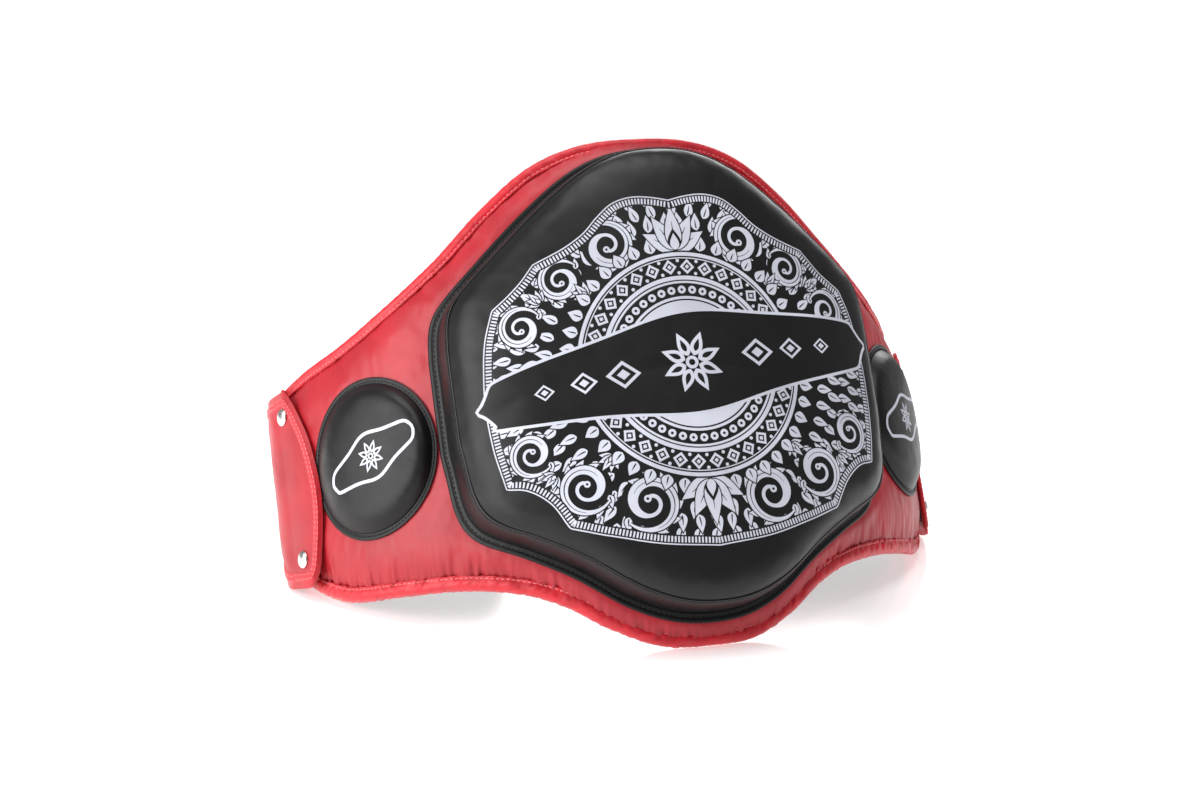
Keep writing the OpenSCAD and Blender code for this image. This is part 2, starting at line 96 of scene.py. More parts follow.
# Strips and wings
STRIP_EDGE = [(112, 326), (122, 318), (170, 307), (215, 314), (245, 328), (262, 340)]
STRIP_LOW, STRIP_HIGH = 112.0, 262.0
WING_BOTTOM = [(0, 117), (40, 139), (90, 158), (180, 178), (280, 193)]
WING_TOP = [(0, 262), (60, 266), (150, 280), (280, 293)]
HINGE_S = HALF_LENGTH + 4
HINGE_OFF = 2.4
HINGE_Z = 190.0
WING_BEND_R = 58.0
WING_HEADING = math.radians(160)
WING_STRAIGHT = 185.0
WING_CORNER_R = 24.0
STRIP_HALF_T = 2.1
WING_HALF_T = 2.8
PATCH_SIZE = (95.0, 64.0)
PATCH_T = 1.6
PATCH_Z = 237.0
PATCH_FROM_HINGE = 205.0
RIVET_PLACES = [(345, 246), (337, 131)]

HINGE_ANGLE = HINGE_S / (PLAN_R + HINGE_OFF)
BEND_LENGTH = (WING_HEADING - HINGE_ANGLE) * WING_BEND_R
WING_LENGTH = BEND_LENGTH + WING_STRAIGHT


# ---------------------------------------------------------------- pad space

def on_body(s, off, z):
    """Point at distance s along the curve, off in front of the front face, at height z."""
    r = PLAN_R + off
    a = s / r
    return np.stack(np.broadcast_arrays(r * np.sin(a), PLAN_R - r * np.cos(a), z), -1).astype(float)


joint = next(j for j in frame["joints"] if j["name"] == "right_wing_swing")
_axis = [abs(c) for c in joint["axis"]]
LEAN = math.atan2(_axis[1], _axis[2])


def turned(p):
    """Pad space to the row frame's directions."""
    c, n = math.cos(LEAN), math.sin(LEAN)
    return np.stack([p[..., 0], p[..., 1] * c + p[..., 2] * n, p[..., 2] * c - p[..., 1] * n], -1)


SHIFT = np.array(joint["pos_m"]) - turned(on_body(HINGE_S, HINGE_OFF, HINGE_Z)) * MM


def placed(p):
    return turned(np.asarray(p, float)) * MM + SHIFT


def measured(points):
    """Row frame points back to s, off and z."""
    q = (points - SHIFT) / MM
    c, n = math.cos(LEAN), math.sin(LEAN)
    x, y, z = q[:, 0], q[:, 1] * c - q[:, 2] * n, q[:, 2] * c + q[:, 1] * n
    r = np.hypot(x, PLAN_R - y)
    return np.arctan2(x, PLAN_R - y) * r, r - PLAN_R, z


def smooth(x, pairs):
    """Smooth curve through a few (x, y) pairs, level at the first."""
    px, py = np.array(pairs, float).T
    slope = np.zeros(len(px))
    slope[1:-1] = (py[2:] - py[:-2]) / (px[2:] - px[:-2])
    slope[-1] = (py[-1] - py[-2]) / (px[-1] - px[-2])
    x = np.asarray(x, float)
    i = np.clip(np.searchsorted(px, x, side="right") - 1, 0, len(px) - 2)
    h = px[i + 1] - px[i]
    t = (x - px[i]) / h
    return ((2 * t**3 - 3 * t**2 + 1) * py[i] + (t**3 - 2 * t**2 + t) * h * slope[i]
            + (3 * t**2 - 2 * t**3) * py[i + 1] + (t**3 - t**2) * h * slope[i + 1])


def eased(t):
    t = np.clip(t, 0, 1)
    return t * t * (3 - 2 * t)


def body_top(s):
    return smooth(np.abs(s), TOP_EDGE)


def body_bottom(s):
    return smooth(np.abs(s), BOTTOM_EDGE)


def back_depth(depth, s):
    left = 1 - (1 - END_THICKNESS) * eased((np.abs(s) - TAPER[0]) / (TAPER[1] - TAPER[0]))
    return np.where(depth <= TAPER_FROM_DEPTH, depth, TAPER_FROM_DEPTH + (depth - TAPER_FROM_DEPTH) * left)


def ruffle(x, y, seed, octaves=2):
    """Smooth noise from -1 to 1 at each x, y."""
    x, y = np.broadcast_arrays(np.asarray(x, float), np.asarray(y, float))
    flat = [noise.fractal(Vector((a, b, seed)), 1.0, 2.0, octaves) for a, b in zip(x.ravel(), y.ravel())]
    return np.array(flat).reshape(x.shape)


def directions(points, closed):
    """Unit tangents at a run of points."""
    ahead = np.roll(points, -1, 0) - np.roll(points, 1, 0)
    if not closed:
        ahead[0], ahead[-1] = points[1] - points[0], points[-1] - points[-2]
    return ahead / np.linalg.norm(ahead, axis=1)[:, None]


def softened(points, times):
    """A closed run of points with its corners eased off."""
    for _ in range(times):
        points = (np.roll(points, 1, 0) + 2 * points + np.roll(points, -1, 0)) / 4
    return points


def along(path, pitch, closed=False):
    """Points and tangents at an even pitch along a run of points."""
    p = np.asarray(path, float)
    if closed:
        p = np.vstack([p, p[:1]])
    length = np.concatenate([[0], np.cumsum(np.linalg.norm(np.diff(p, axis=0), axis=1))])
    n = max(2, int(round(length[-1] / pitch)))
    at = np.arange(n) * length[-1] / n if closed else np.linspace(0, length[-1], n + 1)
    points = np.stack([np.interp(at, length, p[:, k]) for k in range(p.shape[1])], -1)
    return points, directions(points, closed)


def distance_to(x, y, path):
    """Distance from each x, y to a run of points."""
    p = np.asarray(path, float)
    best = np.full(np.shape(x), 1e9)
    for a, b in zip(p[:-1], p[1:]):
        d = b - a
        t = np.clip(((x - a[0]) * d[0] + (y - a[1]) * d[1]) / max(d @ d, 1e-9), 0, 1)
        best = np.minimum(best, np.hypot(x - a[0] - t * d[0], y - a[1] - t * d[1]))
    return best


def inside(x, y, path):
    """Whether each x, y lies inside a closed outline."""
    p = np.asarray(path, float)
    found = np.zeros(np.shape(x), bool)
    for (ax, ay), (bx, by) in zip(p, np.roll(p, -1, 0)):
        if ay != by:
            found ^= ((ay > y) != (by > y)) & (x < (bx - ax) * (y - ay) / (by - ay) + ax)
    return found


# ---------------------------------------------------------------- meshes

def new_piece(name, points, faces, material):
    mesh = bpy.data.meshes.new(name)
    mesh.from_pydata([tuple(p) for p in points], [], faces)
    mesh.validate()
    for polygon in mesh.polygons:
        polygon.use_smooth = True
    mesh.materials.append(material)
    piece = bpy.data.objects.new(name, mesh)
    bpy.context.scene.collection.objects.link(piece)
    return piece


def grid_faces(rows, cols, wrap_rows=False, wrap_cols=False, flip=False):
    i, j = np.meshgrid(np.arange(rows if wrap_rows else rows - 1),
                       np.arange(cols if wrap_cols else cols - 1), indexing="ij")
    k, m = (i + 1) % rows, (j + 1) % cols
    quads = np.stack([i * cols + j, i * cols + m, k * cols + m, k * cols + j], -1).reshape(-1, 4)
    return (quads[:, ::-1] if flip else quads).tolist()


def capped_faces(rows, cols):
    """Faces of closed sections, with a cap on the first and on the last."""
    caps = [list(range(cols))[::-1], list(range((rows - 1) * cols, rows * cols))]
    return grid_faces(rows, cols, False, True) + caps


def domed_faces(rows, cols):
    """Faces of closed rings, the last drawn in to the one point that comes after them."""
    last = (rows - 1) * cols
    fan = [[last + j, last + (j + 1) % cols, rows * cols] for j in range(cols)]
    return grid_faces(rows, cols, False, True) + fan


def sheet_piece(name, grid, material, flip=False):
    """Open sheet through a grid of pad space points."""
    rows, cols = grid.shape[:2]
    return new_piece(name, placed(grid.reshape(-1, 3)), grid_faces(rows, cols, flip=flip), material)


def tube_piece(name, rings, material, closed=False):
    """Closed sections carried along a path: rings is sections x points x 3."""
    rows, cols = rings.shape[:2]
    faces = grid_faces(rows, cols, True, True) if closed else capped_faces(rows, cols)
    piece = new_piece(name, placed(rings.reshape(-1, 3)), faces, material)
    outward(piece)
    return piece


def outward(piece):
    """Turns a closed mesh's faces outwards."""
    bpy.context.view_layer.update()
    co = points_of(piece)
    piece.data.calc_loop_triangles()
    tri = np.array([t.vertices for t in piece.data.loop_triangles])
    a, b, c = co[tri[:, 0]], co[tri[:, 1]], co[tri[:, 2]]
    if np.einsum("ij,ij->i", a, np.cross(b, c)).sum() < 0:
        piece.data.flip_normals()


def settle(piece):
    """Applies the piece's modifiers."""
    evaluated = piece.evaluated_get(bpy.context.evaluated_depsgraph_get())
    mesh = bpy.data.meshes.new_from_object(evaluated)
    piece.modifiers.clear()
    piece.vertex_groups.clear()
    piece.data = mesh


def points_of(piece):
    co = np.zeros(len(piece.data.vertices) * 3)
    piece.data.vertices.foreach_get("co", co)
    return co.reshape(-1, 3)


def move_points(piece, points):
    piece.data.vertices.foreach_set("co", points.astype(np.float32).ravel())
    piece.data.update()


def inflate(piece, held, pressure, slack, cap, frames=20):
    """Cloth simulation: the leather swells between its sewn lines. No point moves further than cap."""
    rest = points_of(piece)
    group = piece.vertex_groups.new(name="held")
    group.add([int(i) for i in np.flatnonzero(held)], 1.0, "REPLACE")
    cloth = piece.modifiers.new("cloth", "CLOTH")
    cloth.settings.vertex_group_mass = "held"
    cloth.settings.use_pressure = True
    cloth.settings.uniform_pressure_force = pressure
    cloth.settings.shrink_min = -slack
    cloth.settings.bending_stiffness = 0.3
    cloth.settings.effector_weights.gravity = 0
    cloth.collision_settings.use_collision = False
    cloth.point_cache.frame_end = frames
    scene = bpy.context.scene
    for f in range(1, frames + 1):
        scene.frame_set(f)
    settle(piece)
    moved = points_of(piece) - rest
    size = np.linalg.norm(moved, axis=1)[:, None]
    limit = cap * MM
    move_points(piece, rest + moved * limit / (limit + size))
    scene.frame_set(1)


def refine(piece, levels=1):
    subdivision = piece.modifiers.new("fine", "SUBSURF")
    subdivision.levels = subdivision.render_levels = levels
    settle(piece)


def thicken(piece, thickness):
    """Gives a sheet its thickness, on the side away from its normals."""
    solid = piece.modifiers.new("thickness", "SOLIDIFY")
    solid.thickness = thickness * MM
    solid.offset = -1
    settle(piece)


def joined(name, parts, material):
    """One mesh from a list of (points, faces)."""
    points, faces, start = [], [], 0
    for p, f in parts:
        points.append(p)
        faces += [[i + start for i in face] for face in f]
        start += len(p)
    return new_piece(name, placed(np.vstack(points)), faces, material)


STITCH_T = np.array([-1, -0.75, -0.3, 0.3, 0.75, 1])
STITCH_RISE = np.array([-0.55, -0.1, 0.12, 0.12, -0.1, -0.55])
STITCH_R = np.array([0.6, 0.95, 1, 1, 0.95, 0.6])


def stitches(points, tangents, normals, length=2.9, thread=0.8, sides=6):
    """Short bent threads, one at each point: (points, faces) in pad space."""
    side = np.cross(normals, tangents)
    side /= np.linalg.norm(side, axis=1)[:, None]
    angle = np.arange(sides) * 2 * math.pi / sides
    rings = (points[:, None, None] + tangents[:, None, None] * (STITCH_T * length / 2)[:, None, None]
             + normals[:, None, None] * (STITCH_RISE[:, None] + STITCH_R[:, None] * thread / 2
                                         * np.sin(angle))[..., None]
             + side[:, None, None] * (STITCH_R[:, None] * thread / 2 * np.cos(angle))[..., None])
    one = capped_faces(len(STITCH_T), sides)
    count = len(STITCH_T) * sides
    faces = [[v + k * count for v in f] for k in range(len(points)) for f in one]
    return rings.reshape(-1, 3), faces


def radial(points):
    """Outward normals of the body's cylinder at pad space points."""
    n = np.stack([points[:, 0], points[:, 1] - PLAN_R, np.zeros(len(points))], -1)
    return n / np.linalg.norm(n, axis=1)[:, None]


def stitched_line(path, off_of, pitch=4.1, closed=False, length=2.9, thread=0.8):
    """Stitches along a run of (s, z), off_of(s, z) in front of the front face."""
    sz, _ = along(path, pitch, closed)
    points = on_body(sz[:, 0], off_of(sz[:, 0], sz[:, 1]), sz[:, 1])
    return stitches(points, directions(points, closed), radial(points), length, thread)


# ---------------------------------------------------------------- materials

def shader(name, roughness, **constants):
    """New material with its Principled shader. Constant values go straight on the shader's sockets."""
    material = bpy.data.materials.new(name)
    material.use_nodes = True
    nodes, links = material.node_tree.nodes, material.node_tree.links
    surface = nodes["Principled BSDF"]
    surface.inputs["Roughness"].default_value = roughness
    for socket, value in constants.items():
        surface.inputs[socket.replace("_", " ")].default_value = value
    return material, nodes, links, surface


def texture(nodes, links, kind, scale, detail=2.0, stretch=(1, 1, 1)):
    place = nodes.new("ShaderNodeTexCoord")
    mapping = nodes.new("ShaderNodeMapping")
    mapping.inputs["Scale"].default_value = stretch
    links.new(place.outputs["Object"], mapping.inputs["Vector"])
    node = nodes.new(kind)
    node.inputs["Scale"].default_value = scale
    if "Detail" in node.inputs:
        node.inputs["Detail"].default_value = detail
    links.new(mapping.outputs["Vector"], node.inputs["Vector"])
    return node


def ramp(nodes, links, source, stops):
    node = nodes.new("ShaderNodeValToRGB")
    elements = node.color_ramp.elements
    while len(elements) < len(stops):
        elements.new(0.5)
    for element, (position, colour) in zip(elements, stops):
        element.position = position
        element.color = (*colour, 1) if hasattr(colour, "__len__") else (colour, colour, colour, 1)
    links.new(source, node.inputs["Fac"])
    return node.outputs["Color"]


def bump(nodes, links, surface, height, strength, distance):
    """Adds a bump in front of the ones that are already on the surface."""
    node = nodes.new("ShaderNodeBump")
    node.inputs["Strength"].default_value = strength
    node.inputs["Distance"].default_value = distance * MM
    links.new(height, node.inputs["Height"])
    before = surface.inputs["Normal"].links
    if before:
        links.new(before[0].from_socket, node.inputs["Normal"])
    links.new(node.outputs["Normal"], surface.inputs["Normal"])


def shade(colour, k):
    return tuple(min(1, c * k) for c in colour)


def leather(name, colour, roughness, grain, **constants):
    """Leather: pebbled grain, pores, faint blotches of colour and of gloss."""
    material, nodes, links, surface = shader(name, roughness, **constants)
    blotches = texture(nodes, links, "ShaderNodeTexNoise", 22, 3)
    colours = ramp(nodes, links, blotches.outputs["Fac"],
                   [(0.3, shade(colour, 0.86)), (0.52, colour), (0.72, shade(colour, 1.12))])
    links.new(colours, surface.inputs["Base Color"])
    gloss = texture(nodes, links, "ShaderNodeTexNoise", 60, 4)
    links.new(ramp(nodes, links, gloss.outputs["Fac"], [(0.3, roughness - 0.05), (0.7, roughness + 0.06)]),
              surface.inputs["Roughness"])
    cells = texture(nodes, links, "ShaderNodeTexVoronoi", 850)
    bump(nodes, links, surface, cells.outputs["Distance"], 0.35 * grain, 0.10)
    pores = texture(nodes, links, "ShaderNodeTexNoise", 2400, 2)
    bump(nodes, links, surface, pores.outputs["Fac"], 0.25 * grain, 0.05)
    creases = texture(nodes, links, "ShaderNodeTexNoise", 130, 5)
    bump(nodes, links, surface, creases.outputs["Fac"], 0.12 * grain, 0.6)
    return material


def woven(name, colour, roughness, pitch, strength, **constants):
    """Woven nylon: crossed ribs of thread, uneven in colour."""
    material, nodes, links, surface = shader(name, roughness, **constants)
    dye = texture(nodes, links, "ShaderNodeTexNoise", 90, 4)
    colours = ramp(nodes, links, dye.outputs["Fac"],
                   [(0.3, shade(colour, 0.82)), (0.55, colour), (0.75, shade(colour, 1.15))])
    links.new(colours, surface.inputs["Base Color"])
    for stretch in ((1, 0.15, 0.15), (0.15, 0.6, 1)):
        ribs = texture(nodes, links, "ShaderNodeTexNoise", 1.6 / (pitch * MM), 1, stretch)
        bump(nodes, links, surface, ribs.outputs["Fac"], strength, 0.12)
    folds = texture(nodes, links, "ShaderNodeTexNoise", 260, 3)
    bump(nodes, links, surface, folds.outputs["Fac"], 0.3, 0.5)
    return material


def metal(name, colour, roughness):
    material, nodes, links, surface = shader(name, roughness, Metallic=1.0)
    wear = texture(nodes, links, "ShaderNodeTexNoise", 500, 4)
    links.new(ramp(nodes, links, wear.outputs["Fac"], [(0.3, shade(colour, 0.9)), (0.7, colour)]),
              surface.inputs["Base Color"])
    links.new(ramp(nodes, links, wear.outputs["Fac"], [(0.35, roughness - 0.06), (0.75, roughness + 0.1)]),
              surface.inputs["Roughness"])
    scratches = texture(nodes, links, "ShaderNodeTexNoise", 900, 2, (1, 0.1, 1))
    bump(nodes, links, surface, scratches.outputs["Fac"], 0.08, 0.05)
    return material


def foam(name, colour, cell):
    material, nodes, links, surface = shader(name, 0.9)
    cells = texture(nodes, links, "ShaderNodeTexVoronoi", 1 / (cell * MM))
    # the colour is darker towards the middle of each cell, where the bump sinks it: painted shade in the pores
    links.new(ramp(nodes, links, cells.outputs["Distance"], [(0.1, shade(colour, 0.75)), (0.6, colour)]),
              surface.inputs["Base Color"])
    bump(nodes, links, surface, cells.outputs["Distance"], 0.6, cell * 0.3)
    return material


RED = leather("red_leather", (0.42, 0.014, 0.024), 0.42, 1.0, Specular_IOR_Level=0.42, Coat_Weight=0.10,
              Coat_Roughness=0.4)
BLACK = leather("black_leather", (0.0062, 0.0060, 0.0066), 0.40, 0.7, Specular_IOR_Level=0.32)
TAPE = woven("edge_binding", (0.62, 0.008, 0.020), 0.46, 0.45, 0.35, Sheen_Weight=0.25, Sheen_Roughness=0.4,
             Specular_IOR_Level=0.55)
LINING = woven("lining", (0.014, 0.014, 0.016), 0.5, 0.4, 0.3, Specular_IOR_Level=0.45)
RED_THREAD = woven("red_thread", (0.85, 0.24, 0.25), 0.5, 0.3, 0.4, Sheen_Weight=0.3, Sheen_Roughness=0.4)
BLACK_THREAD = woven("black_thread", (0.012, 0.012, 0.013), 0.45, 0.3, 0.4)
INK = leather("print", (0.62, 0.635, 0.72), 0.5, 0.45, Specular_IOR_Level=0.4)
NICKEL = metal("nickel", (0.80, 0.78, 0.75), 0.24)
SOFT_FOAM = foam("soft_foam", (0.80, 0.74, 0.58), 0.9)
DENSE_FOAM = foam("dense_foam", (0.10, 0.10, 0.11), 0.5)
HOOKS = woven("hook_tape", (0.016, 0.016, 0.018), 0.6, 1.1, 0.9, Sheen_Weight=0.2, Sheen_Roughness=0.5)
LOOPS = woven("loop_tape", (0.02, 0.02, 0.022), 0.9, 0.8, 0.9, Sheen_Weight=0.5, Sheen_Roughness=0.6)


# ---------------------------------------------------------------- centre pad's outline

def centre_outline(pitch):
    """The centre pad's outline as a closed run of (s, z), at an even pitch."""
    s = np.concatenate([np.linspace(0, 172, 120), np.linspace(172.2, CENTRE_HALF_W, 60)])
    lower = np.stack([s, smooth(s, CENTRE_BOTTOM)], -1)
    upper = np.stack([s, smooth(s, CENTRE_TOP)], -1)[::-1]
    right = np.vstack([lower, upper])
    left = right[::-1] * (-1, 1)
    points, _ = along(np.vstack([right, left[1:-1]]), pitch, closed=True)
    return softened(points, 3)


OUTLINE = centre_outline(3.0)


def centre_sz(inset, outline=OUTLINE):
    """The outline drawn in by inset."""
    return np.stack([outline[:, 0] * (1 - inset / CENTRE_HALF_W),
                     CENTRE_MID_Z + (outline[:, 1] - CENTRE_MID_Z) * (1 - inset / CENTRE_HALF_H)], -1)


# ---------------------------------------------------------------- body

def edge_distance(s, z):
    """Distance to the body's upper or lower edge, square to the edge."""
    rise = 2.0
    top_slope = (body_top(s + rise) - body_top(s - rise)) / (2 * rise)
    low_slope = (body_bottom(s + rise) - body_bottom(s - rise)) / (2 * rise)
    return np.minimum((body_top(s) - z) / np.hypot(1, top_slope), (z - body_bottom(s)) / np.hypot(1, low_slope))


def strip_front(z):
    return smooth(np.clip(z, STRIP_LOW, STRIP_HIGH), STRIP_EDGE)


def seam_distance(s, z):
    """Distance to whatever is sewn on the front: centre pad, round pads and strips. Under them it is 0."""
    outline = np.vstack([OUTLINE, OUTLINE[:1]])
    centre = np.where(inside(s, z, OUTLINE), 0, distance_to(s, z, outline))
    disc = np.maximum(0, np.hypot(np.abs(s) - DISC_S, z - DISC_Z) - DISC_R)
    on_strip = (z > STRIP_LOW) & (z < STRIP_HIGH)
    strip = np.where(on_strip, np.maximum(0, strip_front(z) - np.abs(s)), 99)
    return centre, disc, strip


def front_off(s, z):
    """Front face of the leather: it falls to the binding, and meets what is sewn on it."""
    fall = -smooth(np.clip(edge_distance(s, z), 0, 400), FRONT_FALL)
    centre, disc, strip = seam_distance(s, z)
    return fall * eased(centre / 14) * eased(disc / 10)


def body_grid(pitch, rows, end, inset):
    """Grid of s, z over the body, finer at its upper and lower edges."""
    s = np.linspace(-end, end, int(2 * end / pitch) | 1)
    share = np.linspace(0, 1, rows)
    share = 0.55 * share + 0.45 * eased(share)
    lo, hi = body_bottom(s) + inset, body_top(s) - inset
    z = lo[None, :] + share[:, None] * (hi - lo)[None, :]
    return np.broadcast_to(s[None, :], z.shape), z


def gathers(s, z, seed, reach=22.0):
    """Wrinkles that run in from the binding, square to it, where the leather is gathered."""
    low = z - body_bottom(s)
    top = body_top(s) - z
    bend = np.abs(ruffle(s / 70, 0 * s, seed + 5))
    folds = 0.55 - 2.2 * np.abs(ruffle(s / 6.0 + 0.02 * low * bend, low / 60, seed, 2))
    lower = folds * np.exp(-np.maximum(0, low - 8) / (reach * 0.45)) * (0.7 + 1.8 * bend)
    upper = ruffle(s / 7.5, top / 30, seed + 9, 2) * np.exp(-np.maximum(0, top - 8) / (reach * 0.3)) * 0.45
    return lower + upper


def make_front():
    s, z = body_grid(3.0, 46, BODY_END, 3.0)
    piece = sheet_piece("front_panel", on_body(s, front_off(s, z), z), RED)
    centre, disc, strip = (d.ravel() for d in seam_distance(s, z))
    edge = edge_distance(s, z).ravel()
    held = (centre < 1.5) | (disc < 1) | (strip < 1) | (edge < 8) | (np.abs(s).ravel() > BODY_END - 3)
    inflate(piece, held, 3.0, 0.012, 4.5)
    refine(piece)
    p = points_of(piece)
    s, off, z = measured(p)
    centre, disc, strip = seam_distance(s, z)
    free = eased(centre / 9) * eased(disc / 9) * eased(strip / 7)
    crinkle = np.exp(-((np.abs(s) - 318) / 26) ** 2) * np.exp(-((z - body_bottom(s) - 16) / 16) ** 2)
    off = off + free * (2.0 * gathers(s, z, 3.0) + 0.5 * ruffle(s / 36, z / 30, 11.0)
                        + 1.0 * crinkle * ruffle(s / 6.5 + z / 15, z / 9 - s / 30, 21.0, 3))
    move_points(piece, placed(on_body(s, off, z)))
    thicken(piece, 1.4)
    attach(piece, "pad")
    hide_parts("front_leather")


def back_off(s, z):
    depth = smooth(np.clip(edge_distance(s, z), 0, 400), BACK_FALL)
    return -back_depth(depth, s)


def make_back():
    s, z = body_grid(4.0, 40, BODY_END, 3.0)
    piece = sheet_piece("back_panel", on_body(s, back_off(s, z), z), LINING, flip=True)
    refine(piece)
    s, off, z = measured(points_of(piece))
    free = eased((edge_distance(s, z) - 8) / 10) * eased((TAPER[1] - np.abs(s)) / 30)
    off = off + free * (1.2 * ruffle(s / 45, z / 60, 31.0, 3) + 0.4 * ruffle(s / 12, z / 30, 33.0, 2))
    off = np.minimum(off, back_off(s, z) + 0.9)
    move_points(piece, placed(on_body(s, off, z)))
    thicken(piece, 1.2)
    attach(piece, "pad")
    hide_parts("back_lining")


# Section of a bound edge, as (inset from the edge, share of the half thickness): front to back
BOUND = [(1.0, 0.62), (1.0, 0.86), (0.95, 0.97), (0.86, 0.96), (0.78, 0.88), (0.70, 0.97), (0.55, 1.03),
         (0.38, 1.04), (0.22, 0.97), (0.09, 0.74), (0.02, 0.40), (0.0, 0.0)]
STITCH_AT = 0.78
STITCH_LEVEL = 0.92
TAPE_PITCH = 1.4


def bound_section(width, half):
    front = [(a * width, b * half) for a, b in BOUND]
    back = [(i, -o) for i, o in front[-2::-1]]
    core = width - 1.6
    return front + back + [(core, -0.5 * half), (core, 0.5 * half)]


def edge_run(side_of, pitch):
    """Points along an edge of the body, and the directions into the body, as (s, z)."""
    s = np.linspace(-BODY_END, BODY_END, 900)
    path, ahead = along(np.stack([s, side_of(s)], -1), pitch)
    return path, np.stack([-ahead[:, 1], ahead[:, 0]], -1)


def edge_tape(name, side_of, up, seed, pucker, fullness):
    """Tape folded over an edge, with the small gathers of its stitching. Its fold stands out by fullness."""
    path, inward = edge_run(side_of, TAPE_PITCH)
    inward = inward * up
    arc = np.arange(len(path)) * TAPE_PITCH
    section = bound_section(BINDING_W, BINDING_HALF)
    wander = 0.45 * ruffle(arc / 24, 0 * arc, seed)
    rings = []
    for k, (inset, rise) in enumerate(section):
        reach = inset / BINDING_W
        ridge = ruffle(arc / 4.2 + 0.25 * k, 0 * arc + reach * 1.3, seed + 2, 3)
        out = pucker * ridge * (0.35 + reach) * (1 if abs(rise) > 0.6 * BINDING_HALF else 0.5)
        crimp = 0.5 * ridge * pucker if reach < 0.3 else 0
        at = inset - fullness * (1 - min(1, reach)) + wander * reach + crimp
        sz = path + inward * at[:, None]
        off = -BINDING_MID + rise + np.sign(rise) * out
        rings.append(on_body(sz[:, 0], off, sz[:, 1]))
    piece = tube_piece(name + "_tape", np.stack(rings, 1), TAPE)
    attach(piece, "pad")
    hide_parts(name)
    line = path + inward * (STITCH_AT * BINDING_W)
    # one row on the front face, one on the back
    parts = [stitched_line(line, lambda s, z: -BINDING_MID + level * BINDING_HALF + 0 * s)
             for level in (STITCH_LEVEL, -STITCH_LEVEL)]
    thread = joined(name + "_stitches", parts, RED_THREAD)
    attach(thread, "pad")


def end_tape(side_name, side):
    """Tape that closes an end of the body, with rounded edges."""
    z = np.linspace(float(body_bottom(HALF_LENGTH)) + 0.5, float(body_top(HALF_LENGTH)) - 0.5, 90)
    s_in, s_out, front, back = BODY_END - 2.5, HALF_LENGTH, 1.5, BINDING_MID + BINDING_HALF
    mid, half = (front + back) / 2, (back - front) / 2
    section = [(s_in, 0.9), (s_in + 2.2, 1.0), (s_in + 4.5, 0.93), (s_out - 1.2, 0.75), (s_out - 0.2, 0.4),
               (s_out, 0), (s_out - 0.2, -0.4), (s_out - 1.2, -0.75), (s_in + 4.5, -0.93), (s_in + 2.2, -1.0),
               (s_in, -0.9)]
    rings = []
    for k, (s, share) in enumerate(section):
        pucker = 0.3 * ruffle(z / 5 + k * 0.2, 0 * z, 41.0 + side, 2)
        rings.append(on_body(side * (s + 0 * z), -mid + share * half + np.sign(share) * pucker, z))
    piece = tube_piece(side_name + "_end_tape", np.stack(rings, 1), TAPE)
    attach(piece, "pad")
    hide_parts(side_name + "_end_binding")


# ---------------------------------------------------------------- centre pad

FLANGE_SECTION = [(9.5, 0.35), (0.6, 0.35), (0.1, 0.8), (0.0, 1.4), (0.35, 2.0), (1.0, 2.3), (2.6, 2.35),
                  (3.6, 2.0), (4.4, 1.85), (5.2, 2.05), (6.2, 2.4), (9.5, 2.6)]
WALL_SECTION = [(7.6, 2.5), (7.4, 4.5), (7.3, 9), (7.4, 15), (7.9, 21), (8.7, 26), (9.6, 29), (10.6, 30.0),
                (11.6, 29.3), (12.6, 27), (11.6, 15), (10.8, 2.6)]
TOP_PROFILE = [(0, 29.6), (0.5, 30.9), (1.6, 33.0), (3.2, 35.8), (5.4, 38.2), (8.4, 40.2), (13, 41.9),
               (20, 43.0), (32, 43.7), (60, 44.2), (110, 44.6), (180, 44.8)]
SEAM_SECTION_R = 0.55
WELT_OFF = 30.1


def make_centre_rim():
    """The sewn flange and the upright wall of the centre pad."""
    fine = centre_outline(2.0)
    arc = np.arange(len(fine)) * 2.0
    for name, node, section, seed in (("centre_rim", "centre_flange", FLANGE_SECTION, 51.0),
                                      ("centre_gusset", "centre_wall", WALL_SECTION, 53.0)):
        waves = 0.22 * ruffle(np.cos(arc / arc[-1] * 6.283) * 30, np.sin(arc / arc[-1] * 6.283) * 30, seed)
        rings = []
        for inset, off in section:
            sz = centre_sz(inset, fine)
            lift = waves * (1 if off > 1 else 0)
            share = 0.6 if node == "centre_flange" else 0.2
            rings.append(on_body(sz[:, 0], off + lift * share, sz[:, 1]))
        piece = tube_piece(name, np.stack(rings, 1), BLACK, closed=True)
        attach(piece, "pad")
        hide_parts(node)


def make_centre_top():
    """The domed leather top of the centre pad."""
    outline = centre_outline(5.0)
    insets = np.array([0, 0.4, 1.2, 2.4, 4.2, 6.6, 10, 14, 19, 25, 32, 40, 49, 59, 70, 82, 95, 109, 124,
                       140, 155, 166])
    rings = []
    for inset in insets:
        sz = centre_sz(SEAM_INSET + inset, outline)
        rings.append(on_body(sz[:, 0], float(smooth(inset, TOP_PROFILE)), sz[:, 1]))
    rings = np.stack(rings, 0)
    rows, cols = rings.shape[:2]
    points = np.vstack([rings.reshape(-1, 3), on_body(np.zeros(1), CENTRE_H + 0.8, CENTRE_MID_Z)])
    piece = new_piece("centre_top", placed(points), domed_faces(rows, cols), BLACK)
    face_out(piece)
    held = np.arange(len(points)) < 2 * cols
    inflate(piece, held, 2.0, 0.004, 2.0)
    refine(piece)
    s, off, z = measured(points_of(piece))
    reach = np.clip((off - 31) / 9, 0, 1)
    off = off + reach * (0.35 * ruffle(s / 60, z / 60, 61.0) + 0.12 * ruffle(s / 14, z / 14, 63.0))
    move_points(piece, placed(on_body(s, off, z)))
    skin = BVHTree.FromObject(piece, bpy.context.evaluated_depsgraph_get())
    thicken(piece, 1.4)
    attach(piece, "pad")
    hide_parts("centre_top_leather")
    return skin


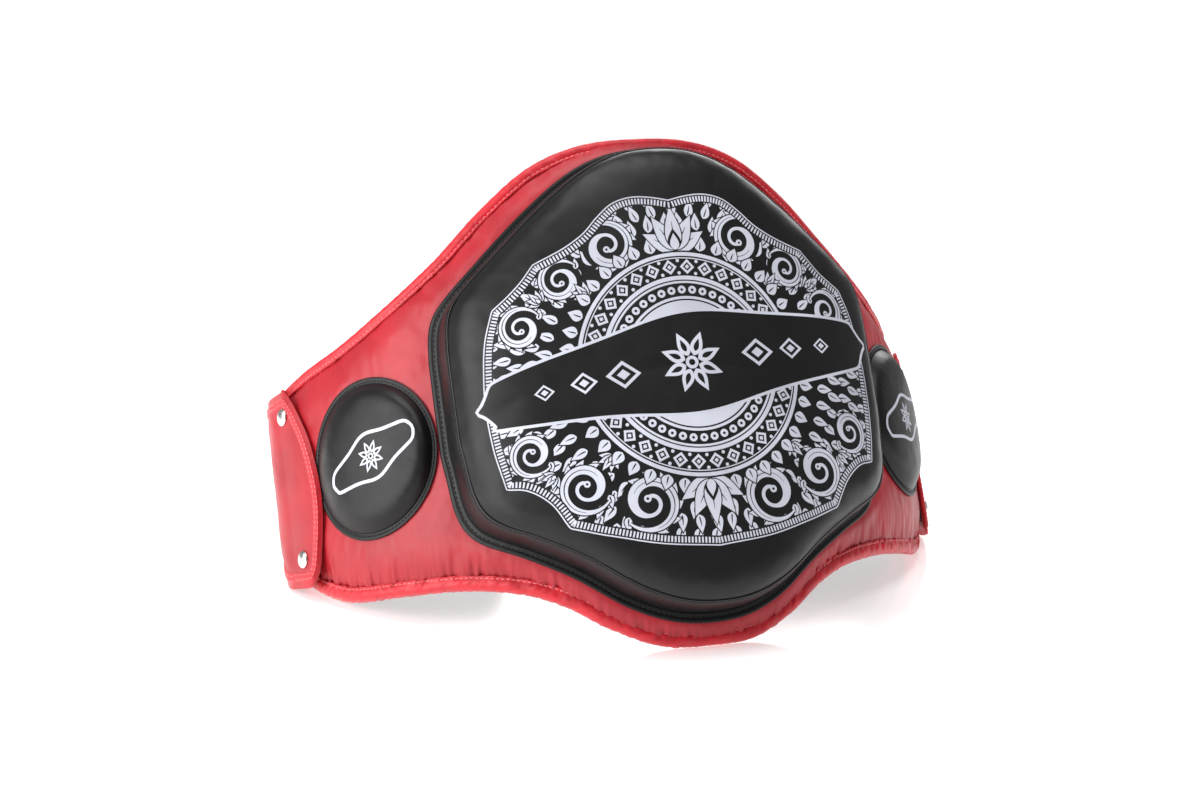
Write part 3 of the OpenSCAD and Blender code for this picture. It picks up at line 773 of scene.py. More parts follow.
def face_out(piece):
    """Turns an open sheet's normals away from the middle of the body's curve."""
    polygon = piece.data.polygons[len(piece.data.polygons) // 2]
    centre = placed(np.array([[0, PLAN_R, 200.0]]))[0]
    if Vector(polygon.normal).dot(Vector(polygon.center) - Vector(centre)) < 0:
        piece.data.flip_normals()


def make_centre_stitches():
    fine = centre_outline(2.0)
    flange = stitched_line(centre_sz(4.4, fine), lambda s, z: 2.15 + 0 * s, 3.9, True, 2.7, 0.75)
    thread = joined("centre_rim_stitches", [flange], BLACK_THREAD)
    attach(thread, "pad")
    # a fine welt closes the seam round the top
    angle = np.arange(8) * math.pi / 4
    rings = []
    for a in angle:
        sz = centre_sz(SEAM_INSET - 0.2 + SEAM_SECTION_R * math.cos(a), fine)
        rings.append(on_body(sz[:, 0], WELT_OFF + SEAM_SECTION_R * math.sin(a), sz[:, 1]))
    welt = tube_piece("centre_seam_welt", np.stack(rings, 1), BLACK_THREAD, closed=True)
    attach(welt, "pad")
    seam = stitched_line(centre_sz(SEAM_INSET - 1.6, fine), lambda s, z: 29.0 + 0 * s, 2.9, True, 2.0, 0.5)
    small = joined("centre_seam_stitches", [seam], BLACK_THREAD)
    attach(small, "pad")


# ---------------------------------------------------------------- ornament

PALE, DARK = True, False
# Right half of the ornament's border: runs of (t, z) between its corners
BORDER = [
    [(0, 329), (14, 332), (28, 333), (42, 329.5), (54, 320.5), (66, 309), (80, 300.5), (92, 295.5), (105, 291)],
    [(105, 291), (116, 279), (127, 270), (139, 262)],
    [(139, 262), (147, 240), (151, 215), (152.5, 190), (150.5, 160), (145, 131)],
    [(145, 131), (130, 127), (115, 115), (103, 96)],
    [(103, 96), (75, 86), (40, 76), (0, 71)],
]
RING_Z = 205.0
LATTICE_R = 73.2
PLAQUE_TILT = 0.10


def border(inset):
    """The border's outline, drawn in by inset."""
    run = []
    for part in BORDER:
        p = np.array(part, float)
        fine = np.linspace(0, len(p) - 1, 12 * (len(p) - 1) + 1)
        ends = np.vstack([2 * p[0] - p[1], p, 2 * p[-1] - p[-2]])
        i = np.clip(fine.astype(int), 0, len(p) - 2)
        u = (fine - i)[:, None]
        a, b, c, d = ends[i], ends[i + 1], ends[i + 2], ends[i + 3]
        curve = 0.5 * (2 * b + (c - a) * u + (2 * a - 5 * b + 4 * c - d) * u**2
                       + (3 * b - a - 3 * c + d) * u**3)
        run.append(curve[:-1] if part is not BORDER[-1] else curve)
    right = np.vstack(run)
    whole = np.vstack([right, (right * (-1, 1))[::-1][1:-1]])
    points, ahead = along(whole, 2.0, closed=True)
    inward = np.stack([ahead[:, 1], -ahead[:, 0]], -1)
    return points + inward * inset


def circle(x, y, r, n=72):
    a = np.arange(n) * 2 * math.pi / n
    return np.stack([x + r * np.cos(a), y + r * np.sin(a)], -1)


def polar(x, y, r, a):
    return x + r * math.cos(a), y + r * math.sin(a)


def set_at(p, x, y, angle):
    """A shape turned by angle and moved to x, y."""
    c, s = math.cos(angle), math.sin(angle)
    return np.stack([x + p[:, 0] * c - p[:, 1] * s, y + p[:, 0] * s + p[:, 1] * c], -1)


def leaf(x, y, angle, length, width, lean=0.0, n=12):
    """Pointed leaf that starts at x, y. lean curls its tip sideways."""
    t = np.linspace(0, 1, n)
    half = width / 2 * np.sin(math.pi * t**0.75) * (1 - 0.25 * t)
    up = np.stack([t * length, half + lean * t * t * length], -1)
    down = np.stack([t * length, -half + lean * t * t * length], -1)[::-1][1:-1]
    return set_at(np.vstack([up, down]), x, y, angle)


def ribbon(path, width):
    """Outline of a stroke along a run of points, with a width at each."""
    p = np.asarray(path, float)
    ahead = np.gradient(p, axis=0)
    ahead /= np.linalg.norm(ahead, axis=1)[:, None]
    side = np.stack([-ahead[:, 1], ahead[:, 0]], -1) * (np.asarray(width, float) / 2 * np.ones(len(p)))[:, None]
    return np.vstack([p + side, (p - side)[::-1]])


def veined_leaf(x, y, angle, length, width, lean=0.0):
    """Pale leaf with a dark edge and a dark vein."""
    back = 0.9
    cx, cy = x - back * math.cos(angle), y - back * math.sin(angle)
    vein = np.array([[x + k * length * math.cos(angle + lean * k), y + k * length * math.sin(angle + lean * k)]
                     for k in (0.12, 0.3, 0.48, 0.66)])
    return [(leaf(cx, cy, angle, length + 2.4, width + 2, lean), DARK),
            (leaf(x, y, angle, length, width, lean), PALE),
            (ribbon(vein, [0.9, 1.1, 0.8, 0.3]), DARK)]


def mirrored(shapes):
    return shapes + [(np.asarray(p)[::-1] * (-1, 1), c) for p, c in shapes]


def scroll_panel(x, y, size, start, hand):
    """Dark round panel with a pale vine that curls in to a ball, and leaves on its outer side."""
    shapes = [(circle(x, y, size), DARK)]
    first = start - hand * 0.2
    for k in range(9):
        a = first + hand * k * 0.56
        r = size * (0.90 - 0.028 * k)
        shapes += veined_leaf(*polar(x, y, r, a), a + hand * 0.75, size * 0.50, size * 0.30, hand * 0.25)
    t = np.linspace(0, 1, 64)
    a = start + hand * t * 1.72 * 2 * math.pi
    r = size * (0.86 * (1 - t) ** 0.95 + 0.15)
    line = np.stack([x + r * np.cos(a), y + r * np.sin(a)], -1)
    width = size * (0.30 * np.sin(math.pi * np.clip(t * 1.5 + 0.04, 0, 1)) ** 0.8
                    + 0.13 * eased((t - 0.3) / 0.2))
    width = np.maximum(width, 0.5)
    shapes.append((ribbon(line, width + 1.8), DARK))
    shapes.append((ribbon(line, width), PALE))
    shapes.append((ribbon(line[6:30], np.interp(t[6:30], [0.09, 0.25, 0.47], [0.3, 0.9, 0.3])), DARK))
    shapes.append((circle(*line[-1], size * 0.13, 18), PALE))
    shapes.append((circle(*line[-1], size * 0.05, 10), DARK))
    return shapes


def bud(x, y, angle, size):
    """Lotus bud: five petals in a fan over a small heart."""
    shapes = []
    for k in (-2, 2, -1, 1, 0):
        a = angle + k * 0.52
        shapes += veined_leaf(x, y, a, size * (1.25 - 0.13 * abs(k)), size * 0.50)
    return shapes + [(leaf(x, y, angle, size * 0.62, size * 0.42), DARK),
                     (leaf(x, y, angle, size * 0.48, size * 0.28), PALE)]


def field_shapes():
    """What is printed inside the border, from the lowest layer to the highest."""
    shapes = []
    # rows of leaves from the border in to the ring, each row over the one outside it
    for row, radius in enumerate((152, 142, 132, 122, 112, 102)):
        count = int(2 * math.pi * radius / 12.5)
        for k in range(count):
            a = (k + 0.5 * (row % 2)) * 2 * math.pi / count + math.pi / 2
            x, z = polar(0, RING_Z, radius, a)
            curl = 0.35 * (1 if x > 0 else -1) * (1 if row % 2 else -1)
            shapes += veined_leaf(x, z, a + curl, 13.5, 7.6, -curl * 0.5)
    right = []
    for x, z, size, start, hand in ((121, 245, 16, 2.6, -1), (125, 152, 16, -2.4, 1), (88, 276, 16, 2.4, -1),
                                    (90, 122, 19, -2.5, 1), (50, 298, 19, 0.6, 1), (46, 106, 21, -0.7, -1)):
        right += scroll_panel(x, z, size, start, hand)
    right += bud(70, 262, 0.9, 10) + bud(68, 142, -0.8, 10)
    right += bud(104, 262, 0.8, 9) + bud(110, 134, -0.7, 9)
    shapes += mirrored(right)
    # petals stand round the ring
    count = 44
    for k in range(count):
        a = (k + 0.5) * 2 * math.pi / count
        shapes += veined_leaf(*polar(0, RING_Z, 86, a), a, 11.5, 9.6)
    shapes += bud(0, 291, math.pi / 2, 27) + bud(0, 119, -math.pi / 2, 27)
    return shapes


def hoops(*layers):
    """Round layers of the medallion, as (radius, colour)."""
    return [(circle(0, RING_Z, r, 120), colour) for r, colour in layers]


def ring_shapes():
    """The round medallion: a lattice ring, a ring of dots and a plain disc."""
    shapes = hoops((85.5, DARK), (84.2, PALE), (81.4, DARK), (80.2, PALE), (79.4, DARK))
    count = 34
    for k in range(count):
        a = k * 2 * math.pi / count
        p = np.array([polar(0, 0, 80, a), polar(0, 0, LATTICE_R, a + 0.088), polar(0, 0, 66.6, a),
                      polar(0, 0, LATTICE_R, a - 0.088)])
        middle = np.array(polar(0, 0, LATTICE_R, a))
        for share, colour in ((0.86, PALE), (0.50, DARK), (0.26, PALE)):
            shapes.append((middle + (p - middle) * share + (0, RING_Z), colour))
        b = a + math.pi / count
        for radius in (77.8, 68.4):
            shapes.append((circle(*polar(0, RING_Z, radius, b), 1.3, 10), PALE))
    shapes += hoops((66.2, PALE), (63.2, DARK), (62.2, PALE), (60.6, DARK))
    count = 44
    for k in range(count):
        a = k * 2 * math.pi / count
        x, z = polar(0, RING_Z, 55.6, a)
        shapes += [(circle(x, z, 3.0, 18), PALE), (circle(x, z, 1.1, 10), DARK)]
    return shapes + hoops((50.6, PALE), (48.6, DARK), (47.4, PALE))


def plaque(cx, cz, half_w, half_h, swell, tilt, grow=0.0):
    """Generic plaque: a swelling band with pointed, scooped ends."""
    t = np.linspace(-1, 1, 61)
    upper = half_h * (1 - 0.42 * np.abs(t) ** 2.5) + swell * np.exp(-((t / 0.34) ** 2))
    end = half_h * 0.58
    zs = np.linspace(-1, 1, 25) * end
    right = np.stack([half_w * (1.06 - 0.09 * np.abs(zs / end) ** 0.6), zs], -1)
    outline = np.vstack([np.stack([t * half_w, -upper], -1)[:-1], right,
                         np.stack([t * half_w, upper], -1)[::-1][1:-1], -right])
    points, ahead = along(outline, 2.2, closed=True)
    outward_side = np.stack([ahead[:, 1], -ahead[:, 0]], -1)
    return set_at(softened(points, 2) + outward_side * grow, cx, cz, tilt)


def rosette(x, z, r, petals=8):
    shapes = []
    for k in range(petals):
        a = k * 2 * math.pi / petals + math.pi / petals
        shapes.append((leaf(*polar(x, z, 0.22 * r, a), a, r * 0.78, r * 0.42), PALE))
        shapes.append((leaf(*polar(x, z, 0.36 * r, a), a, r * 0.42, r * 0.18), DARK))
    shapes += [(circle(x, z, r * 0.2, 24), PALE), (circle(x, z, r * 0.1, 18), DARK)]
    return shapes


def plaque_shapes():
    """The dark plaque across the middle, with a pale key line round it and a plain rosette."""
    place = (0, 206, 152, 27, 10, PLAQUE_TILT)
    shapes = [(plaque(*place, 2.2), PALE), (plaque(*place), DARK)]
    shapes += rosette(0, 206, 24)
    for side in (-1, 1):
        for k, size in ((0, 13), (1, 10), (2, 7.5)):
            x = side * (52 + 29 * k)
            z = 206 + x * math.tan(PLAQUE_TILT)
            diamond = np.array([(x + size, z), (x, z + size * 0.8), (x - size, z), (x, z - size * 0.8)])
            middle = np.array([x, z])
            for share, colour in ((1, PALE), (0.72, DARK), (0.38, PALE)):
                shapes.append((middle + (diamond - middle) * share, colour))
    return shapes


def ladder_shapes():
    """The border: a thin line, then a row of small bars, up to the field."""
    shapes = [(border(-1.0), PALE), (border(-0.1), DARK)]
    points, ahead = along(border(0.0), 2.5, closed=True)
    inward = np.stack([ahead[:, 1], -ahead[:, 0]], -1)
    for p, d, n in zip(points, ahead * 0.65, inward):
        outer, inner = p + n * 0.9, p + n * 5.2
        shapes.append((np.array([outer - d, outer + d, inner + d, inner - d]), PALE))
    return shapes


def painted(at, shapes):
    """Whether the topmost shape over each point is pale."""
    pale = np.zeros(len(at), bool)
    for outline, colour in shapes:
        o = np.asarray(outline, float)
        near = np.flatnonzero(np.all((at >= o.min(0)) & (at <= o.max(0)), 1))
        if len(near):
            pale[near[inside(at[near, 0], at[near, 1], o)]] = colour
    return pale


def inked(shapes, pitch, frame_shapes=(), edge=None):
    """Pale areas as flat triangles: (points, triangles). Outside edge, frame_shapes are used instead."""
    every = list(shapes) + list(frame_shapes) + ([(edge, DARK)] if edge is not None else [])
    points, edges = [], []
    for outline, _ in every:
        start = len(points)
        points += [Vector((float(a), float(b))) for a, b in outline]
        edges += [(start + i, start + (i + 1) % len(outline)) for i in range(len(outline))]
    low = np.min([np.min(o, 0) for o, _ in every], 0)
    high = np.max([np.max(o, 0) for o, _ in every], 0)
    for a in np.arange(low[0], high[0], pitch):
        for b in np.arange(low[1], high[1], pitch):
            points.append(Vector((float(a) + 0.013, float(b) + 0.017)))
    verts, _, faces, _, _, _ = delaunay_2d_cdt(points, edges, [], 0, 1e-4)
    v = np.array([tuple(p) for p in verts])
    tri = np.array([f for f in faces if len(f) == 3])
    middle = v[tri].mean(1)
    pale = painted(middle, shapes)
    if edge is not None:
        pale = np.where(inside(middle[:, 0], middle[:, 1], edge), pale, painted(middle, frame_shapes))
    return v, tri[pale]


def print_piece(name, v, tri, surface, rise, sink):
    """Thin layer of ink on a surface: surface(v) gives its pad space points and normals."""
    used, flat = np.unique(tri, return_inverse=True)
    tri = flat.reshape(-1, 3)
    v = v[used]
    area = np.cross(v[tri[:, 1]] - v[tri[:, 0]], v[tri[:, 2]] - v[tri[:, 0]])
    tri = np.where((area > 0)[:, None], tri, tri[:, ::-1])
    edges = np.concatenate([tri[:, [0, 1]], tri[:, [1, 2]], tri[:, [2, 0]]])
    count = len(v)
    forward = {(int(a), int(b)) for a, b in edges}
    rim = [(a, b) for a, b in forward if (b, a) not in forward]
    base, normal = surface(v)
    points = np.vstack([base + normal * rise, base - normal * sink])
    walls = [[b, a, a + count, b + count] for a, b in sorted(rim)]
    faces = tri.tolist() + (tri[:, ::-1] + count).tolist() + walls
    piece = new_piece(name, placed(points), faces, INK)
    outward(piece)
    for polygon in piece.data.polygons:
        polygon.use_smooth = False
    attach(piece, "pad")


def laid_on(skin, height):
    """For print_piece: finds a finished piece's skin with rays from height in front of the body."""
    def surface(v):
        far = placed(on_body(v[:, 0], height, v[:, 1]))
        near = placed(on_body(v[:, 0], 0.0, v[:, 1]))
        base = []
        for a, b in zip(far, near):
            hit = skin.ray_cast(Vector(a), Vector(b - a).normalized())[0]
            base.append(b if hit is None else np.array(hit))
        points = on_body(*measured(np.array(base)))
        return points, radial(points)

    return surface


def make_print(skin):
    """The screen print on the centre pad, laid on the finished leather."""
    v, tri = inked(field_shapes() + ring_shapes() + plaque_shapes(), 9.0,
                   ladder_shapes() + [(border(5.8), DARK)] + plaque_shapes()[:2], border(6.3))
    print_piece("centre_print", v, tri, laid_on(skin, 80.0), 0.14, 0.25)


# ---------------------------------------------------------------- round side pads

COVER_FOOT = 56.6
DISC_PROFILE = [(0, 12.8), (20, 12.7), (36, 12.3), (44, 11.2), (50, 8.2), (54.3, 4.2), (56.6, 2.1)]
DISC_SIDES = 96


def disc_point(side, x, y, off):
    return on_body(side * DISC_S + x, off, DISC_Z + y)


def disc_rise(d):
    return smooth(np.clip(d, 0, COVER_FOOT), DISC_PROFILE)


def make_disc(side_name, side):
    turn = np.arange(DISC_SIDES) * 2 * math.pi / DISC_SIDES
    radii = np.array([56.6, 56.0, 54.8, 53, 50.8, 48, 44.5, 40, 34.5, 28, 21, 14, 7])
    x, y = radii[:, None] * np.cos(turn), radii[:, None] * np.sin(turn)
    rise = disc_rise(radii)[:, None] + 0 * x
    points = np.vstack([disc_point(side, x, y, rise).reshape(-1, 3),
                        disc_point(side, np.zeros(1), 0.0, DISC_PROFILE[0][1])])
    cover = new_piece(side_name + "_disc_top", placed(points), domed_faces(len(radii), DISC_SIDES), BLACK)
    face_out(cover)
    inflate(cover, np.arange(len(points)) < DISC_SIDES, 2.0, 0.006, 1.2)
    refine(cover)
    s, off, z = measured(points_of(cover))
    d = np.hypot(s - side * DISC_S, z - DISC_Z)
    top = eased((COVER_FOOT - d) / 14)
    off = off + top * (0.3 * ruffle(s / 26, z / 26, 71.0 + side, 2)
                       + 0.16 * ruffle(s / 7 + z / 5, z / 16, 73.0, 3))
    move_points(cover, placed(on_body(s, off, z)))
    skin = BVHTree.FromObject(cover, bpy.context.evaluated_depsgraph_get())
    thicken(cover, 1.2)
    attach(cover, "pad")
    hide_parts(side_name + "_disc_cover")

    section = [(55.5, 0.35), (61.0, 0.35), (61.4, 0.7), (61.5, 1.2), (61.3, 1.7), (60.7, 2.0), (59.6, 2.05),
               (58.8, 1.75), (58.2, 1.65), (57.6, 1.75), (56.8, 1.8), (55.5, 1.6)]
    rings = np.stack([disc_point(side, r * np.cos(turn), r * np.sin(turn), o) for r, o in section], 1)
    flange = tube_piece(side_name + "_disc_rim", rings, BLACK, closed=True)
    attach(flange, "pad")
    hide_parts(side_name + "_disc_flange")

    line = circle(side * DISC_S, DISC_Z, 58.2, 160)
    thread = joined(side_name + "_disc_stitches",
                    [stitched_line(line, lambda s, z: 1.95 + 0 * s, 3.4, True, 2.4, 0.8)], BLACK_THREAD)
    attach(thread, "pad")

    place = (side * DISC_S, DISC_Z - 2, 40, 11, 6, 0.32)
    shapes = [(plaque(*place, 2.6), PALE), (plaque(*place), DARK)] + rosette(side * DISC_S, DISC_Z - 2, 12.5)
    v, tri = inked(shapes, 6.0)
    print_piece(side_name + "_disc_print", v, tri, laid_on(skin, 40.0), 0.12, 0.2)


# ---------------------------------------------------------------- strips and wings

def wing_lo(w):
    return np.where(w < 0, smooth(np.clip(w + 40, 0, 40), [(0, 112), (20, 113.2), (40, 117)]),
                    smooth(np.clip(w, 0, 280), WING_BOTTOM))


def wing_hi(w):
    return np.where(w < 0, WING_TOP[0][1], smooth(np.clip(w, 0, 280), WING_TOP))


def wing_at(side, w, off, z):
    """Pad space point of a strip and its wing: w runs from the hinge, off from the middle of its thickness."""
    w, off, z = np.broadcast_arrays(np.asarray(w, float), off, z)
    a = np.minimum(WING_HEADING, HINGE_ANGLE + np.maximum(w, 0) / WING_BEND_R)
    over = np.maximum(0, w - BEND_LENGTH)
    hinge = on_body(HINGE_S, HINGE_OFF, 0.0)
    x = hinge[0] + WING_BEND_R * (np.sin(a) - math.sin(HINGE_ANGLE)) + over * np.cos(a) + off * np.sin(a)
    y = hinge[1] + WING_BEND_R * (math.cos(HINGE_ANGLE) - np.cos(a)) + over * np.sin(a) - off * np.cos(a)
    on_strip = on_body(HINGE_S + np.minimum(w, 0), HINGE_OFF + off, z)
    p = np.where((w < 0)[..., None], on_strip, np.stack([x, y, z], -1))
    return p * (side, 1, 1)


def wing_half(w):
    """Half the thickness of the strip, then of the wing."""
    return STRIP_HALF_T + (WING_HALF_T - STRIP_HALF_T) * eased(w / 10)


def wing_outline():
    """The whole flat shape, as a closed run of (w, z) with rounded corners."""
    tip = WING_LENGTH - WING_CORNER_R
    w = np.linspace(-28, tip, 160)
    quarter = np.linspace(0, math.pi / 2, 16)[1:-1]
    low = np.stack([w, wing_lo(w)], -1)
    high = np.stack([w, wing_hi(w)], -1)[::-1]
    corner_low = np.stack([tip + WING_CORNER_R * np.sin(quarter),
                           wing_lo(WING_LENGTH) + WING_CORNER_R * (1 - np.cos(quarter))], -1)
    corner_high = np.stack([tip + WING_CORNER_R * np.cos(quarter),
                            wing_hi(WING_LENGTH) - WING_CORNER_R * (1 - np.sin(quarter))], -1)
    z = np.linspace(STRIP_HIGH, STRIP_LOW, 60)
    front = np.stack([strip_front(z) - HINGE_S, z], -1)
    high = high[high[:, 0] > front[0, 0] + 1]
    low = low[low[:, 0] > front[-1, 0] + 1]
    points, _ = along(np.vstack([low, corner_low, corner_high, high, front]), 2.0, closed=True)
    return softened(points, 4)


WING_EDGE = wing_outline()
STRIP_BOUND = 7.5


def wing_grid(inset):
    """Grid of w, z that fills the flat shape, drawn in by inset."""
    rows, n_strip = 44, 16
    tip = WING_LENGTH - inset
    quarter = np.linspace(0, math.pi / 2, 10)[1:]
    bend = np.linspace(0, tip - WING_CORNER_R, 78)
    tips = tip - WING_CORNER_R + (WING_CORNER_R - 0.5) * np.sin(quarter)
    columns = np.concatenate([bend, tips])
    u = np.maximum(0, columns - (tip - WING_CORNER_R))
    shorter = WING_CORNER_R - np.sqrt(np.maximum(0, WING_CORNER_R**2 - u**2))
    lo, hi = wing_lo(columns) + inset + shorter, wing_hi(columns) - inset - shorter
    share = np.linspace(0, 1, rows)[:, None]
    z_wing = lo + share * (hi - lo)
    w_wing = np.broadcast_to(columns, z_wing.shape)
    z0 = z_wing[:, :1]
    k = np.linspace(0, 1, n_strip, endpoint=False)
    front = strip_front(z0) - HINGE_S + inset
    w_strip = front + k * (0 - front)
    low_edge, high_edge = wing_lo(w_strip) + inset, wing_hi(w_strip) - inset
    z_strip = low_edge + share * (high_edge - low_edge)
    front = strip_front(z_strip) - HINGE_S + inset
    w_strip = front * (1 - k)
    return np.hstack([w_strip, w_wing]), np.hstack([z_strip, z_wing])


def hinge_blend(piece, side):
    start = placed(wing_at(side, 0.0, 0.0, HINGE_Z))
    end = placed(wing_at(side, 56.0, 0.0, HINGE_Z))
    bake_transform(piece)


def wing_sheet(name, side, material, low, high, inset, pillow, seed):
    """Closed layer of the wing between two shares of its half thickness."""
    w, z = wing_grid(inset)
    edge = distance_to(w, z, np.vstack([WING_EDGE, WING_EDGE[:1]]))
    rivets = np.min([np.hypot(w + HINGE_S - s0, z - z0) for s0, z0 in RIVET_PLACES], 0)
    free = eased((edge - 6) / 12) * eased((rivets - 6) / 8)
    waves = free * (pillow + 0.35 * ruffle(w / 30, z / 30, seed) + 0.22 * ruffle(w / 9, z / 14, seed + 1))
    folds = 0.30 * ruffle((w + z) / 5, (w - z) / 5, seed + 2) * np.exp(-np.maximum(0, edge - 7) / 6)
    half = wing_half(w)
    strip_share = np.where(w < 0, 0.25, 1.0)
    outer = (high * half
             + (waves + folds * eased(edge / 9)) * np.sign(high) * (strip_share if high > 0 else 0.5))
    inner = low * half
    top = wing_at(side, w, np.maximum(outer, inner + 0.3) if high > low else outer, z)
    bottom = wing_at(side, w, inner, z)
    rows, cols = w.shape
    rim = ([(0, j) for j in range(cols)] + [(i, cols - 1) for i in range(1, rows)]
           + [(rows - 1, j) for j in range(cols - 2, -1, -1)] + [(i, 0) for i in range(rows - 2, 0, -1)])
    rim = [i * cols + j for i, j in rim]
    count = rows * cols
    faces = grid_faces(rows, cols) + [[v + count for v in f] for f in grid_faces(rows, cols, flip=True)]
    faces += [[a, a + count, b + count, b] for a, b in zip(rim, rim[1:] + rim[:1])]
    points = np.vstack([top.reshape(-1, 3), bottom.reshape(-1, 3)])
    piece = new_piece(name, placed(points), faces, material)
    outward(piece)
    return piece


def make_wing(side_name, side):
    leather_piece = wing_sheet(side_name + "_wing_skin", side, RED, 0.2, 0.86, 4.0, 0.9, 81.0 + side)
    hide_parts(side_name + "_wing_leather", side_name + "_strip_leather")
    felt_piece = wing_sheet(side_name + "_wing_core", side, DENSE_FOAM, -0.3, 0.15, 5.0, 0.0, 85.0)
    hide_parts(side_name + "_wing_felt")
    lining_piece = wing_sheet(side_name + "_wing_back", side, LINING, -0.35, -0.86, 4.0, 0.2, 87.0 + side)
    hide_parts(side_name + "_wing_lining")

    path = WING_EDGE
    ahead = directions(path, True)
    inward = np.stack([-ahead[:, 1], ahead[:, 0]], -1)
    arc = np.arange(len(path)) * 2.0
    loop = arc / arc[-1] * 2 * math.pi
    ring_x, ring_y = 40 * np.cos(loop), 40 * np.sin(loop)
    rings = []
    for k, (inset, share) in enumerate(bound_section(1.0, 1.0)):
        ridge = ruffle(ring_x * 1.1 + 0.2 * k, ring_y * 1.1, 91.0 + side, 3)
        # the section's last two points have a negative inset, so the tape closes outside the edge
        wz = path + inward * (inset * STRIP_BOUND)
        half = wing_half(wz[:, 0])
        lift = 0.22 * ridge * np.sign(share) * (0.4 + max(0, inset))
        lift = np.where((wz[:, 0] < 0) & (share < 0), 0, lift)
        rings.append(wing_at(side, wz[:, 0], share * half * 1.02 + lift, wz[:, 1]))
    tape = tube_piece(side_name + "_wing_tape", np.stack(rings, 1), TAPE, closed=True)
    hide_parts(side_name + "_wing_binding", side_name + "_strip_binding")

    parts = []
    for inset_mm in (1.9, 5.6):
        line, _ = along(path + inward * inset_mm, 4.0, closed=True)
        half = wing_half(line[:, 0])
        for face in (1, -1):
            use = line if face > 0 else line[line[:, 0] > 6]
            h = half if face > 0 else half[line[:, 0] > 6]
            p = wing_at(side, use[:, 0], face * h * (1.0 if inset_mm > 3 else 1.02), use[:, 1])
            q = wing_at(side, use[:, 0], face * (h + 1), use[:, 1])
            normal = (q - p) / np.linalg.norm(q - p, axis=1)[:, None]
            step = np.roll(p, -1, 0) - p
            far = np.linalg.norm(step, axis=1) > 12
            step[far] = (p - np.roll(p, 1, 0))[far]
            tangent = step / np.linalg.norm(step, axis=1)[:, None]
            parts.append(stitches(p, tangent, normal, 2.7, 0.7))
    thread = joined(side_name + "_wing_stitches", parts, RED_THREAD)
    for piece in (leather_piece, felt_piece, lining_piece, tape, thread):
        hinge_blend(piece, side)


def make_patch(side_name, side, face, node, material):
    """Hook or loop tape: a thin slab with rounded corners, sewn round its edge."""
    off = face * (WING_HALF_T + 0.9 + PATCH_T / 2)
    corner, n = 7.0, 8
    w, h = PATCH_SIZE[0] / 2, PATCH_SIZE[1] / 2
    quarter = np.linspace(0, math.pi / 2, n)
    outline = np.vstack([np.stack([sx * (w - corner) + corner * np.cos(quarter + a),
                                   sz * (h - corner) + corner * np.sin(quarter + a)], -1)
                         for sx, sz, a in ((1, 1, 0), (-1, 1, math.pi / 2), (-1, -1, math.pi),
                                           (1, -1, 1.5 * math.pi))])
    rings = []
    for inset, level in ((0.6, -1), (0, -0.6), (0, 0.5), (0.7, 1), (2.2, 1.0), (3.0, 0.7), (3.8, 1.0),
                         (12, 1.05), (30, 1.05)):
        k = np.array([1 - inset / w, 1 - inset / h])
        p = outline * k
        rings.append(wing_at(side, PATCH_FROM_HINGE + p[:, 0], off + face * level * PATCH_T / 2,
                             PATCH_Z + p[:, 1]))
    piece = tube_piece(side_name + ("_loop_tape" if face > 0 else "_hook_tape"), np.stack(rings, 0), material)
    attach(piece, side_name + "_wing")
    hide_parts(node)
    line, _ = along(outline * np.array([1 - 3 / w, 1 - 3 / h]), 3.4, closed=True)
    p = wing_at(side, PATCH_FROM_HINGE + line[:, 0], off + face * PATCH_T * 0.42, PATCH_Z + line[:, 1])
    q = wing_at(side, PATCH_FROM_HINGE + line[:, 0], off + face * (PATCH_T + 1), PATCH_Z + line[:, 1])
    normal = (q - p) / np.linalg.norm(q - p, axis=1)[:, None]
    sewn = stitches(p, directions(p, True), normal, 2.4, 0.6)
    thread = joined(side_name + "_patch_stitches", [sewn], BLACK_THREAD)
    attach(thread, side_name + "_wing")


# ---------------------------------------------------------------- rivets and foams

CAP_PROFILE = [(0.0, 2.9), (1.4, 2.85), (2.8, 2.7), (4.1, 2.4), (5.2, 2.0), (6.1, 1.45), (6.7, 0.85),
               (6.9, 0.35), (6.8, 0.0), (6.3, -0.15), (2.0, -0.15)]
RIVET_SIDES = 40


def make_rivets(side_name, side):
    """Domed caps on their posts, smooth where the CAD caps have flats."""
    parts = []
    turn = np.arange(RIVET_SIDES) * 2 * math.pi / RIVET_SIDES
    profile = [(max(r, 0.02), h) for r, h in CAP_PROFILE + [(2.0, -14.0), (0.0, -14.0)]]
    for s0, z0 in RIVET_PLACES:
        foot = on_body(side * s0, 4.5, z0)
        normal = radial(foot[None])[0]
        across = np.cross([0, 0, 1.0], normal)
        rings = np.stack([foot + normal * h + r * (np.cos(turn)[:, None] * across
                                                   + np.sin(turn)[:, None] * np.array([0, 0, 1.0]))
                          for r, h in profile], 0)
        parts.append((rings.reshape(-1, 3), capped_faces(len(profile), RIVET_SIDES)))
    piece = joined(side_name + "_rivet_caps", parts, NICKEL)
    outward(piece)
    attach(piece, "pad")
    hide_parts(side_name + "_rivets")


CARRIED = {"soft_foam": SOFT_FOAM, "dense_foam": DENSE_FOAM, "centre_dense_foam": DENSE_FOAM,
           "centre_soft_foam": SOFT_FOAM, "left_disc_foam": SOFT_FOAM, "right_disc_foam": SOFT_FOAM,
           "left_rivet_backs": NICKEL, "right_rivet_backs": NICKEL}


def finish_carried():
    """The CAD nodes that stay get their procedural materials."""
    for node, material in CARRIED.items():
        mesh = frame["nodes"][node].data
        mesh.materials.clear()
        mesh.materials.append(material)


# ---------------------------------------------------------------- stage, lights and camera

